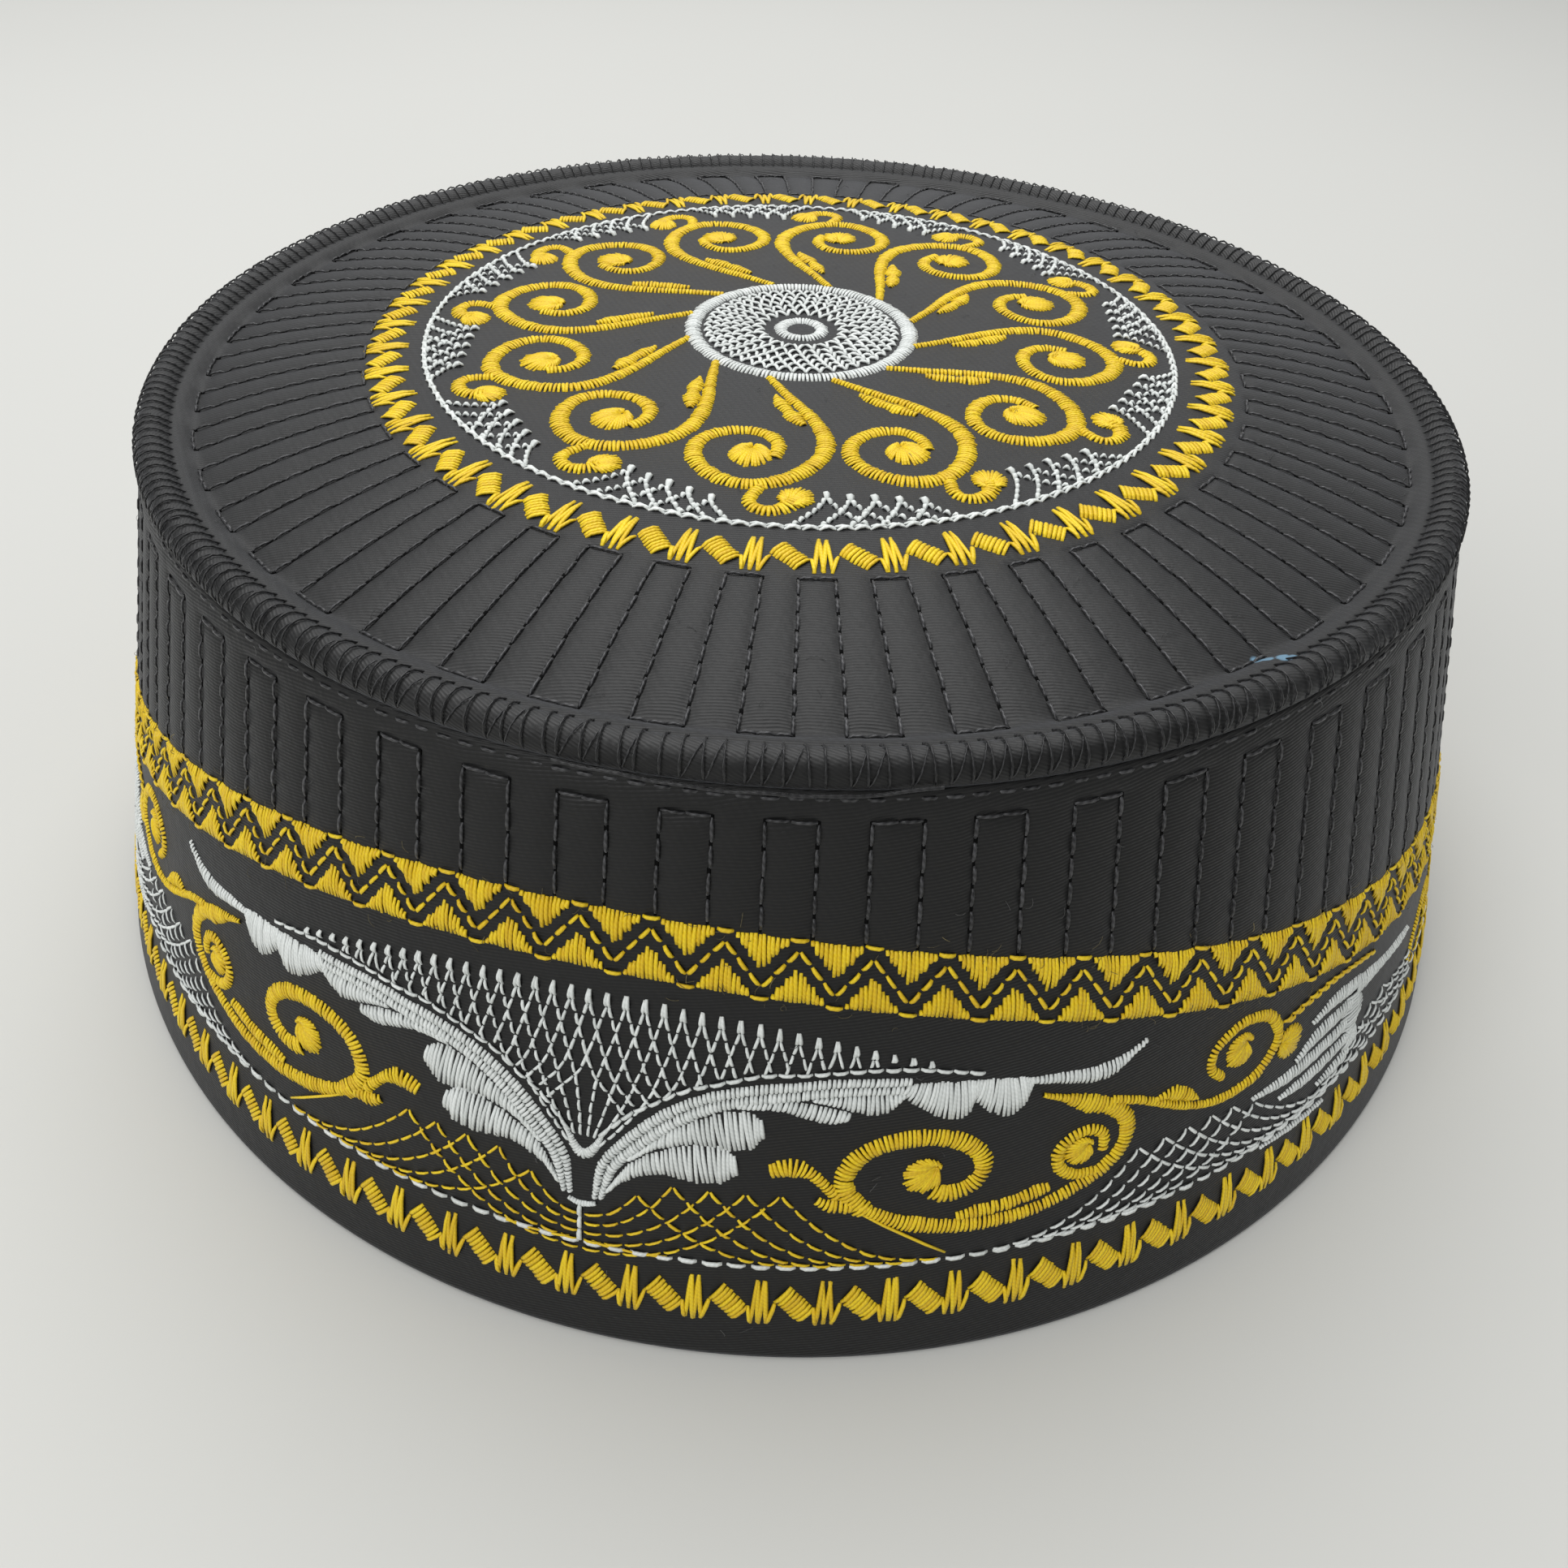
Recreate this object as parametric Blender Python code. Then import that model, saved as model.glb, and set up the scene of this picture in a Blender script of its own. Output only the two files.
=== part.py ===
"""A kufi: a stiff round cap with a quilted domed crown, an overcast rim welt and a flared side wall.

The cap stands on its rim, its origin is the middle of the rim's circle, the front faces -Y and
all sizes are in metres.
"""
import math

import bpy
import bmesh

# Driving sizes
BASE_RADIUS = 0.0975        # outer radius of the side wall where it rests
TOP_RADIUS = 0.0800         # outer radius of the side wall at its folded top edge
WALL_HEIGHT = 0.0664        # height of the folded top edge
WALL_THICKNESS = 0.0026     # cloth, padding and lining of the side wall, measured level
FOLD_ROUNDING = 0.0006      # rounding of the wall's folded edges

CROWN_THICKNESS = 0.0024    # cloth, padding and lining of the crown
CROWN_RISE = 0.0062         # height of the crown's middle over its sewn edge
CROWN_FULLNESS = 4.2        # power of the dome: flat in the middle, steep at the edge

WELT_HALF_WIDTH = 0.0020    # the rolled and overcast rim seam, across
WELT_HALF_HEIGHT = 0.0015   # the same seam, up and down

SEAM_GAP = 0.0003           # clearance between the sewn pieces
QUILT_DEPTH = 0.0005        # how far a quilted channel sinks between its two puffs

CROWN_LINES = 96            # radial quilting lines on the crown
WALL_LINES = 110            # upright quilting lines on the side wall
CROWN_LINE_AZIMUTH = math.radians(0.95)
WALL_LINE_AZIMUTH = math.radians(0.68)

MEDALLION_RADIUS = 0.0534   # the smooth round field inside the crown's quilting
CROWN_QUILT_MARGIN = 0.0031  # plain cloth between the crown's quilting and its sewn edge
CROWN_QUILT_EASE = 0.0025   # length over which the crown's channels deepen

BORDER_HEIGHT = 0.0426      # mean height of the wavy border's upper edge
BORDER_WAVE = 0.0105        # how far that edge rises at front and back and dips at the sides
BORDER_WIDTH = 0.0077       # mean width of the wavy border
BORDER_SWELL = 0.0012       # how much narrower the border is at front and back
BORDER_RELIEF = 0.0005      # how far its dense stitching stands proud
WALL_QUILT_END = 0.0030     # distance from the wall's top edge to its quilting
WALL_QUILT_EASE = 0.0025    # length over which the wall's channels deepen

WELT_SEGMENTS = 96
WELT_SIDES = 10


def make_material(name, colour, roughness):
    material = bpy.data.materials.new(name)
    material.use_nodes = True
    shader = material.node_tree.nodes["Principled BSDF"]
    shader.inputs["Base Color"].default_value = (*colour, 1.0)
    shader.inputs["Roughness"].default_value = roughness
    shader.inputs["Metallic"].default_value = 0.0
    return material


def azimuths(lines, first_line):
    """Two columns for each quilting line: one in its channel and one on the puff beside it."""
    step = math.pi / lines
    return [(first_line + step * column, column % 2 == 1) for column in range(2 * lines)]


def point_at(azimuth, radius, height):
    """A point at an azimuth counted from the front, -Y, towards +X."""
    return (radius * math.sin(azimuth), -radius * math.cos(azimuth), height)


def add_ring(mesh, columns, radius_and_height):
    """One closed ring of vertices; radius_and_height gives a column's place in its section."""
    return [mesh.verts.new(point_at(azimuth, *radius_and_height(azimuth, on_puff)))
            for azimuth, on_puff in columns]


def bridge(mesh, rings):
    """Quads between each ring and the next, in the order given."""
    for lower, upper in zip(rings, rings[1:]):
        count = len(lower)
        for column in range(count):
            following = (column + 1) % count
            mesh.faces.new((lower[column], lower[following], upper[following], upper[column]))


def close_with_fan(mesh, ring, height):
    centre = mesh.verts.new((0.0, 0.0, height))
    for column, vertex in enumerate(ring):
        mesh.faces.new((vertex, ring[(column + 1) % len(ring)], centre))


def finish_object(name, mesh, material):
    bmesh.ops.recalc_face_normals(mesh, faces=mesh.faces)
    data = bpy.data.meshes.new(name)
    mesh.to_mesh(data)
    mesh.free()
    data.materials.append(material)
    data.shade_smooth()
    data.set_sharp_from_angle(angle=math.radians(50))
    piece = bpy.data.objects.new(name, data)
    bpy.context.scene.collection.objects.link(piece)
    return piece


# The side wall's section

def wall_radius(height):
    """Outer radius of the flared wall at a height."""
    return BASE_RADIUS + (TOP_RADIUS - BASE_RADIUS) * height / WALL_HEIGHT


def border_top(azimuth):
    return BORDER_HEIGHT + BORDER_WAVE * math.cos(2 * azimuth)


def border_bottom(azimuth):
    return border_top(azimuth) - BORDER_WIDTH + BORDER_SWELL * math.cos(2 * azimuth)


def wall_row(height_of, relief=0.0, channel=0.0, inset=0.0):
    """A row of the outer face, sunk by channel between the puffs and by inset all round."""
    def place(azimuth, on_puff):
        height = height_of(azimuth)
        sunk = inset + (0.0 if on_puff else channel)
        return wall_radius(height) + relief - sunk, height
    return place


def level(height):
    return lambda azimuth: height


def side_wall(material):
    mesh = bmesh.new()
    columns = azimuths(WALL_LINES, WALL_LINE_AZIMUTH)
    quilt_top = WALL_HEIGHT - WALL_QUILT_END
    rows = (
        wall_row(level(0.0), inset=FOLD_ROUNDING),
        wall_row(level(FOLD_ROUNDING)),
        wall_row(lambda azimuth: border_bottom(azimuth) - BORDER_RELIEF),
        wall_row(border_bottom, relief=BORDER_RELIEF),
        wall_row(border_top, relief=BORDER_RELIEF),
        wall_row(lambda azimuth: border_top(azimuth) + BORDER_RELIEF),
        wall_row(lambda azimuth: border_top(azimuth) + WALL_QUILT_EASE, channel=QUILT_DEPTH),
        wall_row(level(quilt_top - WALL_QUILT_EASE), channel=QUILT_DEPTH),
        wall_row(level(quilt_top)),
        wall_row(level(WALL_HEIGHT - FOLD_ROUNDING)),
        wall_row(level(WALL_HEIGHT), inset=FOLD_ROUNDING),
        wall_row(level(WALL_HEIGHT), inset=WALL_THICKNESS),
        wall_row(level(0.0), inset=WALL_THICKNESS),
    )
    rings = [add_ring(mesh, columns, row) for row in rows]
    bridge(mesh, rings + rings[:1])
    return finish_object("side_wall", mesh, material)


# The crown's section

def seat_radius(height):
    """The crown's sewn edge lies just inside the wall's inner face."""
    return wall_radius(height) - WALL_THICKNESS - SEAM_GAP


def crown_height(radius):
    """Height of the domed upper face; its sewn edge is level with the wall's top edge."""
    share = radius / seat_radius(WALL_HEIGHT)
    return WALL_HEIGHT + CROWN_RISE * (1.0 - share ** CROWN_FULLNESS)


def crown_row(radius, channel=0.0, drop=0.0):
    """A row at a radius, sunk by channel between the puffs and by drop all round."""
    def place(azimuth, on_puff):
        sunk = drop + (0.0 if on_puff else channel)
        return radius, crown_height(radius) - sunk
    return place


def seat_row(height):
    """A row on the crown's edge, where it meets the side wall."""
    return lambda azimuth, on_puff: (seat_radius(height), height)


def crown_panel(material):
    mesh = bmesh.new()
    columns = azimuths(CROWN_LINES, CROWN_LINE_AZIMUTH)
    edge = seat_radius(WALL_HEIGHT)
    quilt_end = edge - CROWN_QUILT_MARGIN
    rows = (
        crown_row(0.5 * MEDALLION_RADIUS),
        crown_row(MEDALLION_RADIUS),
        crown_row(MEDALLION_RADIUS + CROWN_QUILT_EASE, channel=QUILT_DEPTH),
        crown_row(quilt_end - CROWN_QUILT_EASE, channel=QUILT_DEPTH),
        crown_row(quilt_end),
        crown_row(edge - FOLD_ROUNDING),
        seat_row(WALL_HEIGHT - FOLD_ROUNDING),
        seat_row(WALL_HEIGHT - CROWN_THICKNESS),
        crown_row(MEDALLION_RADIUS, drop=CROWN_THICKNESS),
    )
    rings = [add_ring(mesh, columns, row) for row in rows]
    bridge(mesh, rings)
    close_with_fan(mesh, rings[0], crown_height(0.0))
    close_with_fan(mesh, rings[-1], crown_height(0.0) - CROWN_THICKNESS)
    return finish_object("crown_panel", mesh, material)


# The rim welt

def rim_welt(material):
    """The rolled seam lies on the wall's top edge, its outer side flush with the wall."""
    centre_radius = wall_radius(WALL_HEIGHT) - WELT_HALF_WIDTH
    centre_height = WALL_HEIGHT + SEAM_GAP + WELT_HALF_HEIGHT
    mesh = bmesh.new()
    rings = []
    for segment in range(WELT_SEGMENTS):
        azimuth = 2 * math.pi * segment / WELT_SEGMENTS
        ring = []
        for side in range(WELT_SIDES):
            turn = 2 * math.pi * side / WELT_SIDES
            radius = centre_radius + WELT_HALF_WIDTH * math.cos(turn)
            height = centre_height + WELT_HALF_HEIGHT * math.sin(turn)
            ring.append(mesh.verts.new(point_at(azimuth, radius, height)))
        rings.append(ring)
    bridge(mesh, rings + rings[:1])
    return finish_object("rim_welt", mesh, material)


def main():
    for leftover in list(bpy.data.objects):
        bpy.data.objects.remove(leftover, do_unlink=True)
    satin = make_material("black_satin", (0.022, 0.022, 0.025), 0.55)
    thread = make_material("black_thread", (0.018, 0.018, 0.020), 0.45)
    side_wall(satin)
    crown_panel(satin)
    rim_welt(thread)


main()
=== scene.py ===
# Embroidered pillbox kufi: the looks. Drawings are in millimetres, on the unrolled wall or the crown's plan.
import math
from functools import partialmethod

import bpy
import numpy as np
from mathutils import Matrix, Vector, noise


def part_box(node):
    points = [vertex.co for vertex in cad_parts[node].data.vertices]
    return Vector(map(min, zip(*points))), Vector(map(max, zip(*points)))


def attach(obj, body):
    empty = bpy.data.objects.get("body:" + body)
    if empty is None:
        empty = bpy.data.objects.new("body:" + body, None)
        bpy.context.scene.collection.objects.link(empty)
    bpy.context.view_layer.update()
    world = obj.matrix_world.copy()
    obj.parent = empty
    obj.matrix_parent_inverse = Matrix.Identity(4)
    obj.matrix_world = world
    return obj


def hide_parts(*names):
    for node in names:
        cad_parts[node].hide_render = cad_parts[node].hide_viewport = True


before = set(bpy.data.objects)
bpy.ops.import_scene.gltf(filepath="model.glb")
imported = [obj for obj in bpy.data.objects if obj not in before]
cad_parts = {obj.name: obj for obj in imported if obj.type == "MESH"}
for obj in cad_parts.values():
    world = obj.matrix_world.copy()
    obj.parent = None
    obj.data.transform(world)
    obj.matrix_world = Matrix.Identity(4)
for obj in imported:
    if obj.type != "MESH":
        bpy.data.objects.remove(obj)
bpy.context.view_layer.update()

MM = 0.001

# The three sewn pieces, from the frame
WALL_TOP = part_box("side_wall")[1].z / MM
CROWN_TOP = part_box("crown_panel")[1].z / MM


def widest(node):
    """The largest distance of a frame node from the hat's axis, in millimetres."""
    return max(math.hypot(v.co.x, v.co.y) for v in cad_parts[node].data.vertices) / MM


BASE_RADIUS = widest("side_wall")
TOP_RADIUS = widest("rim_welt")
WALL_THICKNESS = 2.6
CROWN_THICKNESS = 2.4
SEAM_GAP = 0.3
CROWN_EDGE = TOP_RADIUS - WALL_THICKNESS - SEAM_GAP
CROWN_FULLNESS = 4.2

# Where the crown starts to rise towards its rim, over what width, and how far
EDGE_START = 73.2
EDGE_RUN = 3.2
EDGE_LIFT = 1.85

# The seam line below the rim's roll, and how far the cloth sinks at it
SEAM_HEIGHT = 65.7
SEAM_TUCK = 0.3

# The medallion's centre in plan, and the radius that the wall's drawings are laid out on
MEDALLION_CENTRE = (-0.78, -0.16)
DRAWING_RADIUS = 89.0

# Quilting: black lines that run up and down in a meander
CROWN_LINES = 96
CROWN_LINE_START = math.radians(0.7)
CROWN_LINE_INNER = 54.3
CROWN_LINE_OUTER = 73.9
WALL_LINES = 110
WALL_LINE_START = math.radians(0.68)
WALL_LINE_TOP = 63.6
CHANNEL_DEPTH = 0.22
CHANNEL_WIDTH = 0.50
PUFF_HEIGHT = 0.10
PUFF_WIDTH = 1.5

# The gold border band, which rises and falls twice in one turn
BORDER_TOP = 42.6
BORDER_WAVE = 10.5
BORDER_WIDTH = 7.7
BORDER_SWELL = 1.2


def border_top(azimuth):
    return BORDER_TOP + BORDER_WAVE * np.cos(2 * azimuth)


def border_bottom(azimuth):
    return border_top(azimuth) - BORDER_WIDTH + BORDER_SWELL * np.cos(2 * azimuth)


def cone_radius(height):
    """Radius of the wall's outside at a height."""
    return BASE_RADIUS + (TOP_RADIUS - BASE_RADIUS) * height / WALL_TOP


def dome_height(radius):
    """Height of the crown's upper face at a radius."""
    return WALL_TOP + (CROWN_TOP - WALL_TOP) * (1 - (radius / CROWN_EDGE) ** CROWN_FULLNESS)


def turn(azimuth, radius, height):
    """Points round the axis, azimuth counted from the front towards +X."""
    x = radius * np.sin(azimuth)
    y = -radius * np.cos(azimuth)
    return np.stack(np.broadcast_arrays(x, y, height), axis=-1)


def line_distance(azimuth, lines, start):
    """Angle to the nearest quilting line, and the number of the gap between two lines."""
    step = 2 * math.pi / lines
    place = (azimuth - start) / step
    return np.abs(place - np.round(place)) * step, np.floor(place).astype(int)


def meander_relief(across, gap, along, low, high, radius, top_gaps, bottom_gaps):
    """How far quilted cloth sinks at its stitched lines and swells between them."""
    beyond = np.maximum(0, np.maximum(low - along, along - high))
    distance = np.hypot(across * radius, beyond)
    for edge, parity in ((high, top_gaps), (low, bottom_gaps)):
        if parity is None:
            continue
        aside = np.where(gap % 2 == parity, 0, across * radius)
        distance = np.minimum(distance, np.hypot(along - edge, aside))
    inside = np.clip((along - low) / 2 + 0.5, 0, 1) * np.clip((high - along) / 2 + 0.5, 0, 1)
    sink = CHANNEL_DEPTH * np.exp(-((distance / CHANNEL_WIDTH) ** 2))
    swell = PUFF_HEIGHT * (1 - np.exp(-((distance / PUFF_WIDTH) ** 2))) * inside
    return swell - sink * np.clip(1 - beyond / 2, 0, 1)


def ripple(azimuth, along, size, seed):
    """Slow unevenness of stretched cloth, from -1 to 1."""
    flat = np.broadcast_arrays(azimuth, along)
    values = [
        noise.noise(Vector((math.sin(a) * 9, math.cos(a) * 9, b / size + seed)))
        for a, b in zip(flat[0].ravel(), flat[1].ravel())
    ]
    return np.array(values).reshape(flat[0].shape)


def crown_surface(azimuth, radius, lift=0.0):
    """Points on the crown's upper face, quilting included."""
    across, gap = line_distance(azimuth, CROWN_LINES, CROWN_LINE_START)
    relief = meander_relief(across, gap, radius, CROWN_LINE_INNER, CROWN_LINE_OUTER, radius, 0, 1)
    rise = np.clip((radius - EDGE_START) / EDGE_RUN, 0, 1)
    height = dome_height(radius) + EDGE_LIFT * rise * rise * (3 - 2 * rise)
    return turn(azimuth, radius, height + relief + lift)


def wall_surface(azimuth, height, lift=0.0):
    """Points on the wall's outside, quilting included."""
    across, gap = line_distance(azimuth, WALL_LINES, WALL_LINE_START)
    low = border_top(azimuth) - 0.6
    radius = cone_radius(height)
    relief = meander_relief(across, gap, height, low, WALL_LINE_TOP, radius, 1, None)
    slope = math.atan2(BASE_RADIUS - TOP_RADIUS, WALL_TOP)
    out = (relief + lift) * math.cos(slope)
    return turn(azimuth, radius + out, height + (relief + lift) * math.sin(slope))


def mesh_object(name, points, faces, corner_uv=None):
    """A mesh object at the origin from points in millimetres; uv has a row for each face corner."""
    mesh = bpy.data.meshes.new(name)
    mesh.from_pydata((np.asarray(points) * MM).tolist(), [], faces)
    if corner_uv is not None:
        layer = mesh.uv_layers.new(name="cloth")
        layer.data.foreach_set("uv", np.asarray(corner_uv, dtype=np.float32).ravel())
    mesh.shade_smooth()
    thing = bpy.data.objects.new(name, mesh)
    bpy.context.scene.collection.objects.link(thing)
    return thing


def loft(name, rings, uv_rings, closed=False, start_pole=False, end_pole=False):
    """Skins rings of equal count; faces look left of the way that the rings run, seen from their start."""
    rings = np.asarray(rings, dtype=float)
    uv_rings = np.asarray(uv_rings, dtype=float)
    rows, columns = rings.shape[:2]
    points = rings.reshape(-1, 3).tolist()
    faces = []
    corner_uv = []
    row_pairs = [(i, i + 1) for i in range(rows - 1)]
    if closed:
        row_pairs.append((rows - 1, 0))
    for upper, lower in row_pairs:
        lower_uv = uv_rings[rows] if closed and lower == 0 else uv_rings[lower]
        for j in range(columns):
            k = (j + 1) % columns
            above = upper * columns
            below = lower * columns
            faces.append((above + j, below + j, below + k, above + k))
            corner_uv.append((uv_rings[upper][j], lower_uv[j], lower_uv[j + 1], uv_rings[upper][j + 1]))
    corner_uv = np.array(corner_uv).reshape(-1, 2).tolist()
    for pole, row, flip in ((start_pole, 0, False), (end_pole, rows - 1, True)):
        if not pole:
            continue
        centre = len(points)
        points.append(rings[row].mean(axis=0).tolist())
        middle_uv = uv_rings[row].mean(axis=0).tolist()
        for j in range(columns):
            k = (j + 1) % columns
            first, second = (k, j) if flip else (j, k)
            first_uv, second_uv = (j + 1, j) if flip else (j, j + 1)
            faces.append((centre, row * columns + first, row * columns + second))
            corner_uv += [middle_uv, uv_rings[row][first_uv].tolist(), uv_rings[row][second_uv].tolist()]
    return mesh_object(name, points, faces, corner_uv)


def line_columns(lines, start, shares):
    """Azimuths of mesh columns, at the same shares of each gap between quilting lines."""
    step = 2 * math.pi / lines
    return np.array([start + step * (k + share) for k in range(lines) for share in shares])


def around(columns):
    """The columns with the first repeated a turn later, for a seam in the UV map."""
    return np.append(columns, columns[0] + 2 * math.pi)


def map_row(across, level):
    """One row of a UV map, in millimetres."""
    return np.stack([across, np.full_like(across, level)], axis=-1)


GAP_SHARES = (0.0, 0.10, 0.26, 0.50, 0.74, 0.90)


def make_side_wall():
    """The quilted and embroidered wall: cloth outside, a folded hem, and a plain inside."""
    columns = line_columns(WALL_LINES, WALL_LINE_START, GAP_SHARES)
    outer_levels = [66.4, 65.9, 65.3, 64.7, 64.2, 63.9, 63.6, 63.3, 63.0, 62.4, 61.5, 60.2]
    outer_levels += list(np.linspace(58.6, 30.0, 20)) + list(np.linspace(28.0, 3.0, 12)) + [1.4, 0.7, 0.25]
    rings = []
    for height in outer_levels:
        tuck = SEAM_TUCK * math.exp(-(((height - SEAM_HEIGHT) / 0.35) ** 2))
        tuck += 0.15 * max(0, (height - 66.0) / 0.4) ** 2
        hem = 0.35 * max(0, 1 - height / 0.7) ** 2
        rings.append(wall_surface(columns, np.full_like(columns, height), -tuck - hem))
    inner_levels = [0.0, 0.0, 0.5, 6.0, 25.0, 45.0, 62.0, WALL_TOP]
    insets = [0.7, WALL_THICKNESS - 0.6] + [WALL_THICKNESS] * 6
    for height, inset in zip(inner_levels, insets):
        rings.append(turn(columns, cone_radius(height) - inset, np.full_like(columns, height)))
    levels = outer_levels + [-height - inset for height, inset in zip(inner_levels, insets)]
    levels.append(-WALL_TOP - 2 * WALL_THICKNESS)
    uv_rings = [map_row(around(columns) * DRAWING_RADIUS, level) for level in levels]
    return loft("side_wall_cloth", rings, uv_rings, closed=True)


def make_crown():
    """The crown: a low quilted dome with a plain underside."""
    columns = line_columns(CROWN_LINES, CROWN_LINE_START, GAP_SHARES)
    seam = around(columns)
    radii = list(np.linspace(2.0, 50.0, 17)) + [51.5, 52.8, 53.5, 53.9, 54.3, 54.7, 55.1, 55.8, 57.0]
    radii += list(np.linspace(59.0, 71.0, 9)) + [72.2, 72.9, 73.5, 73.9, 74.3, 74.9, 75.6, 76.3, 76.9]
    rings = [crown_surface(columns, np.full_like(columns, r)) for r in radii]
    plan = [turn(seam, r, 0.0)[:, :2] for r in radii]
    under = [77.1, 76.6, 70.0, 55.0, 30.0, 4.0]
    for r in under:
        height = dome_height(min(r, 77.0)) - CROWN_THICKNESS + (0.9 if r > 77 else 0)
        rings.append(turn(columns, r, np.full_like(columns, height)))
        plan.append(turn(seam, r, 0.0)[:, :2])
    return loft("crown_cloth", rings, plan, start_pole=True, end_pole=True)


ROLL_PROFILE = (
    # radius and height of the padded roll's section, anticlockwise from its inner foot
    (75.9, 67.2), (76.05, 68.0), (76.6, 68.75), (77.3, 69.3), (78.0, 69.55), (78.8, 69.45),
    (79.45, 69.05), (79.9, 68.4), (80.05, 67.6), (80.0, 66.95), (79.7, 66.5), (77.6, 66.45), (76.5, 66.6),
)
OVERCASTS = 283
ROLL_COLUMNS = 2 * OVERCASTS


def make_roll():
    """The padded roll that binds the crown to the wall."""
    columns = np.arange(ROLL_COLUMNS) * 2 * math.pi / ROLL_COLUMNS
    seam = around(columns)
    rings = []
    uv_rings = []
    run = 0.0
    previous = ROLL_PROFILE[-1]
    for radius, height in ROLL_PROFILE:
        swell = 0.12 * ripple(columns * 3, np.full_like(columns, radius), 2.0, 5.0)
        swell -= 0.08 * (np.arange(ROLL_COLUMNS) % 2 == 0)
        rings.append(turn(columns, radius + swell, height + swell))
        run += math.dist(previous, (radius, height))
        uv_rings.append(map_row(seam * 78, run))
        previous = (radius, height)
    uv_rings.append(map_row(seam * 78, run + 1.0))
    return loft("rim_roll_cloth", rings, uv_rings, closed=True)


class Value:
    """A node socket that answers to arithmetic by adding Math nodes."""

    def __init__(self, graph, socket):
        self.graph = graph
        self.socket = socket

    def math(self, operation, *others):
        return self.graph.node("ShaderNodeMath", {"operation": operation}, 0, self, *others)

    def clamp(self, top=1.0):
        return self.math("MAXIMUM", 0.0).math("MINIMUM", top)

    def __rsub__(self, other):
        return self.graph.node("ShaderNodeMath", {"operation": "SUBTRACT"}, 0, other, self)

    __add__ = partialmethod(math, "ADD")
    __sub__ = partialmethod(math, "SUBTRACT")
    __mul__ = partialmethod(math, "MULTIPLY")
    __truediv__ = partialmethod(math, "DIVIDE")
    __pow__ = partialmethod(math, "POWER")
    __radd__ = __add__
    __rmul__ = __mul__


class Graph:
    """A node tree being built; node() adds any node and gives one of its outputs as a Value."""

    def __init__(self, tree):
        self.tree = tree

    def plug(self, socket, value):
        if isinstance(value, Value):
            self.tree.links.new(value.socket, socket)
        elif value is not None:
            socket.default_value = value

    def node(self, kind, settings, output, *ordered, **named):
        made = self.tree.nodes.new(kind)
        for setting, value in settings.items():
            setattr(made, setting, value)
        for socket, value in zip(made.inputs, ordered):
            self.plug(socket, value)
        for socket, value in named.items():
            self.plug(made.inputs[socket.replace("_", " ")], value)
        return Value(self, made.outputs[output])

    def axes(self, vector):
        return [self.node("ShaderNodeSeparateXYZ", {}, axis, vector) for axis in "XYZ"]


class Finish(Graph):
    """A material being built round its Principled shader."""

    def __init__(self, name, **constants):
        self.material = bpy.data.materials.new(name)
        self.material.use_nodes = True
        super().__init__(self.material.node_tree)
        self.shader = self.tree.nodes["Principled BSDF"]
        for socket, value in constants.items():
            self.shader.inputs[socket.replace("_", " ")].default_value = value

    def mix(self, share, first, second):
        """Blends two colours."""
        made = self.tree.nodes.new("ShaderNodeMix")
        made.data_type = "RGBA"
        for place, value in ((0, share), (6, first), (7, second)):
            self.plug(made.inputs[place], value)
        return Value(self, made.outputs[2])

    def noise(self, place, scale, detail=3.0):
        return self.node("ShaderNodeTexNoise", {}, "Fac", Vector=place, Scale=scale, Detail=detail)

    def bump(self, height, strength, distance, normal=None):
        return self.node(
            "ShaderNodeBump", {}, 0, Strength=strength, Distance=distance, Height=height, Normal=normal
        )

    def attribute(self, name, output):
        return self.node("ShaderNodeAttribute", {"attribute_name": name}, output)

    def set(self, **sockets):
        for socket, value in sockets.items():
            self.plug(self.shader.inputs[socket.replace("_", " ")], value)
        return self.material


def grey(level):
    return (level, level, level, 1.0)


def satin_cloth(name, dark, light, twill_angle, sheen=0.12, marks=(), painted_shade_beyond=None):
    """Black satin with a fine diagonal twill; the map is in millimetres. Marks are pale blue rubs. Past a
    given run along the map's second axis the colour darkens, as painted shade.
    """
    twill_pitch = 0.36
    finish = Finish(
        name, Sheen_Weight=sheen, Sheen_Roughness=0.4, Sheen_Tint=(0.62, 0.64, 0.7, 1.0),
        Specular_IOR_Level=0.32,
    )
    place = finish.node("ShaderNodeUVMap", {"uv_map": "cloth"}, "UV")
    x, y, _ = finish.axes(place)
    slow = finish.noise(place, 0.11, 2.0)
    fine = finish.noise(place, 2.6, 2.0)
    across = y * math.cos(twill_angle) - x * math.sin(twill_angle)
    along = x * math.cos(twill_angle) + y * math.sin(twill_angle)
    wander = (slow - 0.5) * 0.9
    rib = ((across + wander) * (2 * math.pi / twill_pitch)).math("SINE") * 0.5 + 0.5
    float_length = ((along + across * 0.5) * (2 * math.pi / (twill_pitch * 2.6))).math("SINE") * 0.5 + 0.5
    weave = rib * (0.7 + float_length * 0.3)
    tone = weave * 0.5 + fine * 0.25 + slow * 0.25
    colour = finish.mix(tone, dark, light)
    # Painted shade: past the given run the colour darkens, for the roll's outer face that turns away from the
    # light.
    if painted_shade_beyond is not None:
        band = ((y + fine * 1.4 - painted_shade_beyond) * 1.4).clamp()
        colour = finish.mix(band * 0.8, colour, grey(0.004))
    for mark_x, mark_y, size in marks:
        aside = x - mark_x
        ahead = y - mark_y
        away = (aside * aside + ahead * ahead).math("SQRT") / size
        share = ((1.0 - away) * (fine + 0.9) * 1.6).clamp(0.85)
        colour = finish.mix(share, colour, (0.16, 0.30, 0.42, 1.0))
    normal = finish.bump(weave + fine * 0.5, 0.6, 0.00006)
    wrinkle = finish.bump(finish.noise(place, 0.42, 3.0), 0.35, 0.0004, normal)
    return finish.set(Base_Color=colour, Roughness=fine * 0.1 - weave * 0.08 + 0.5, Normal=wrinkle)


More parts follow.
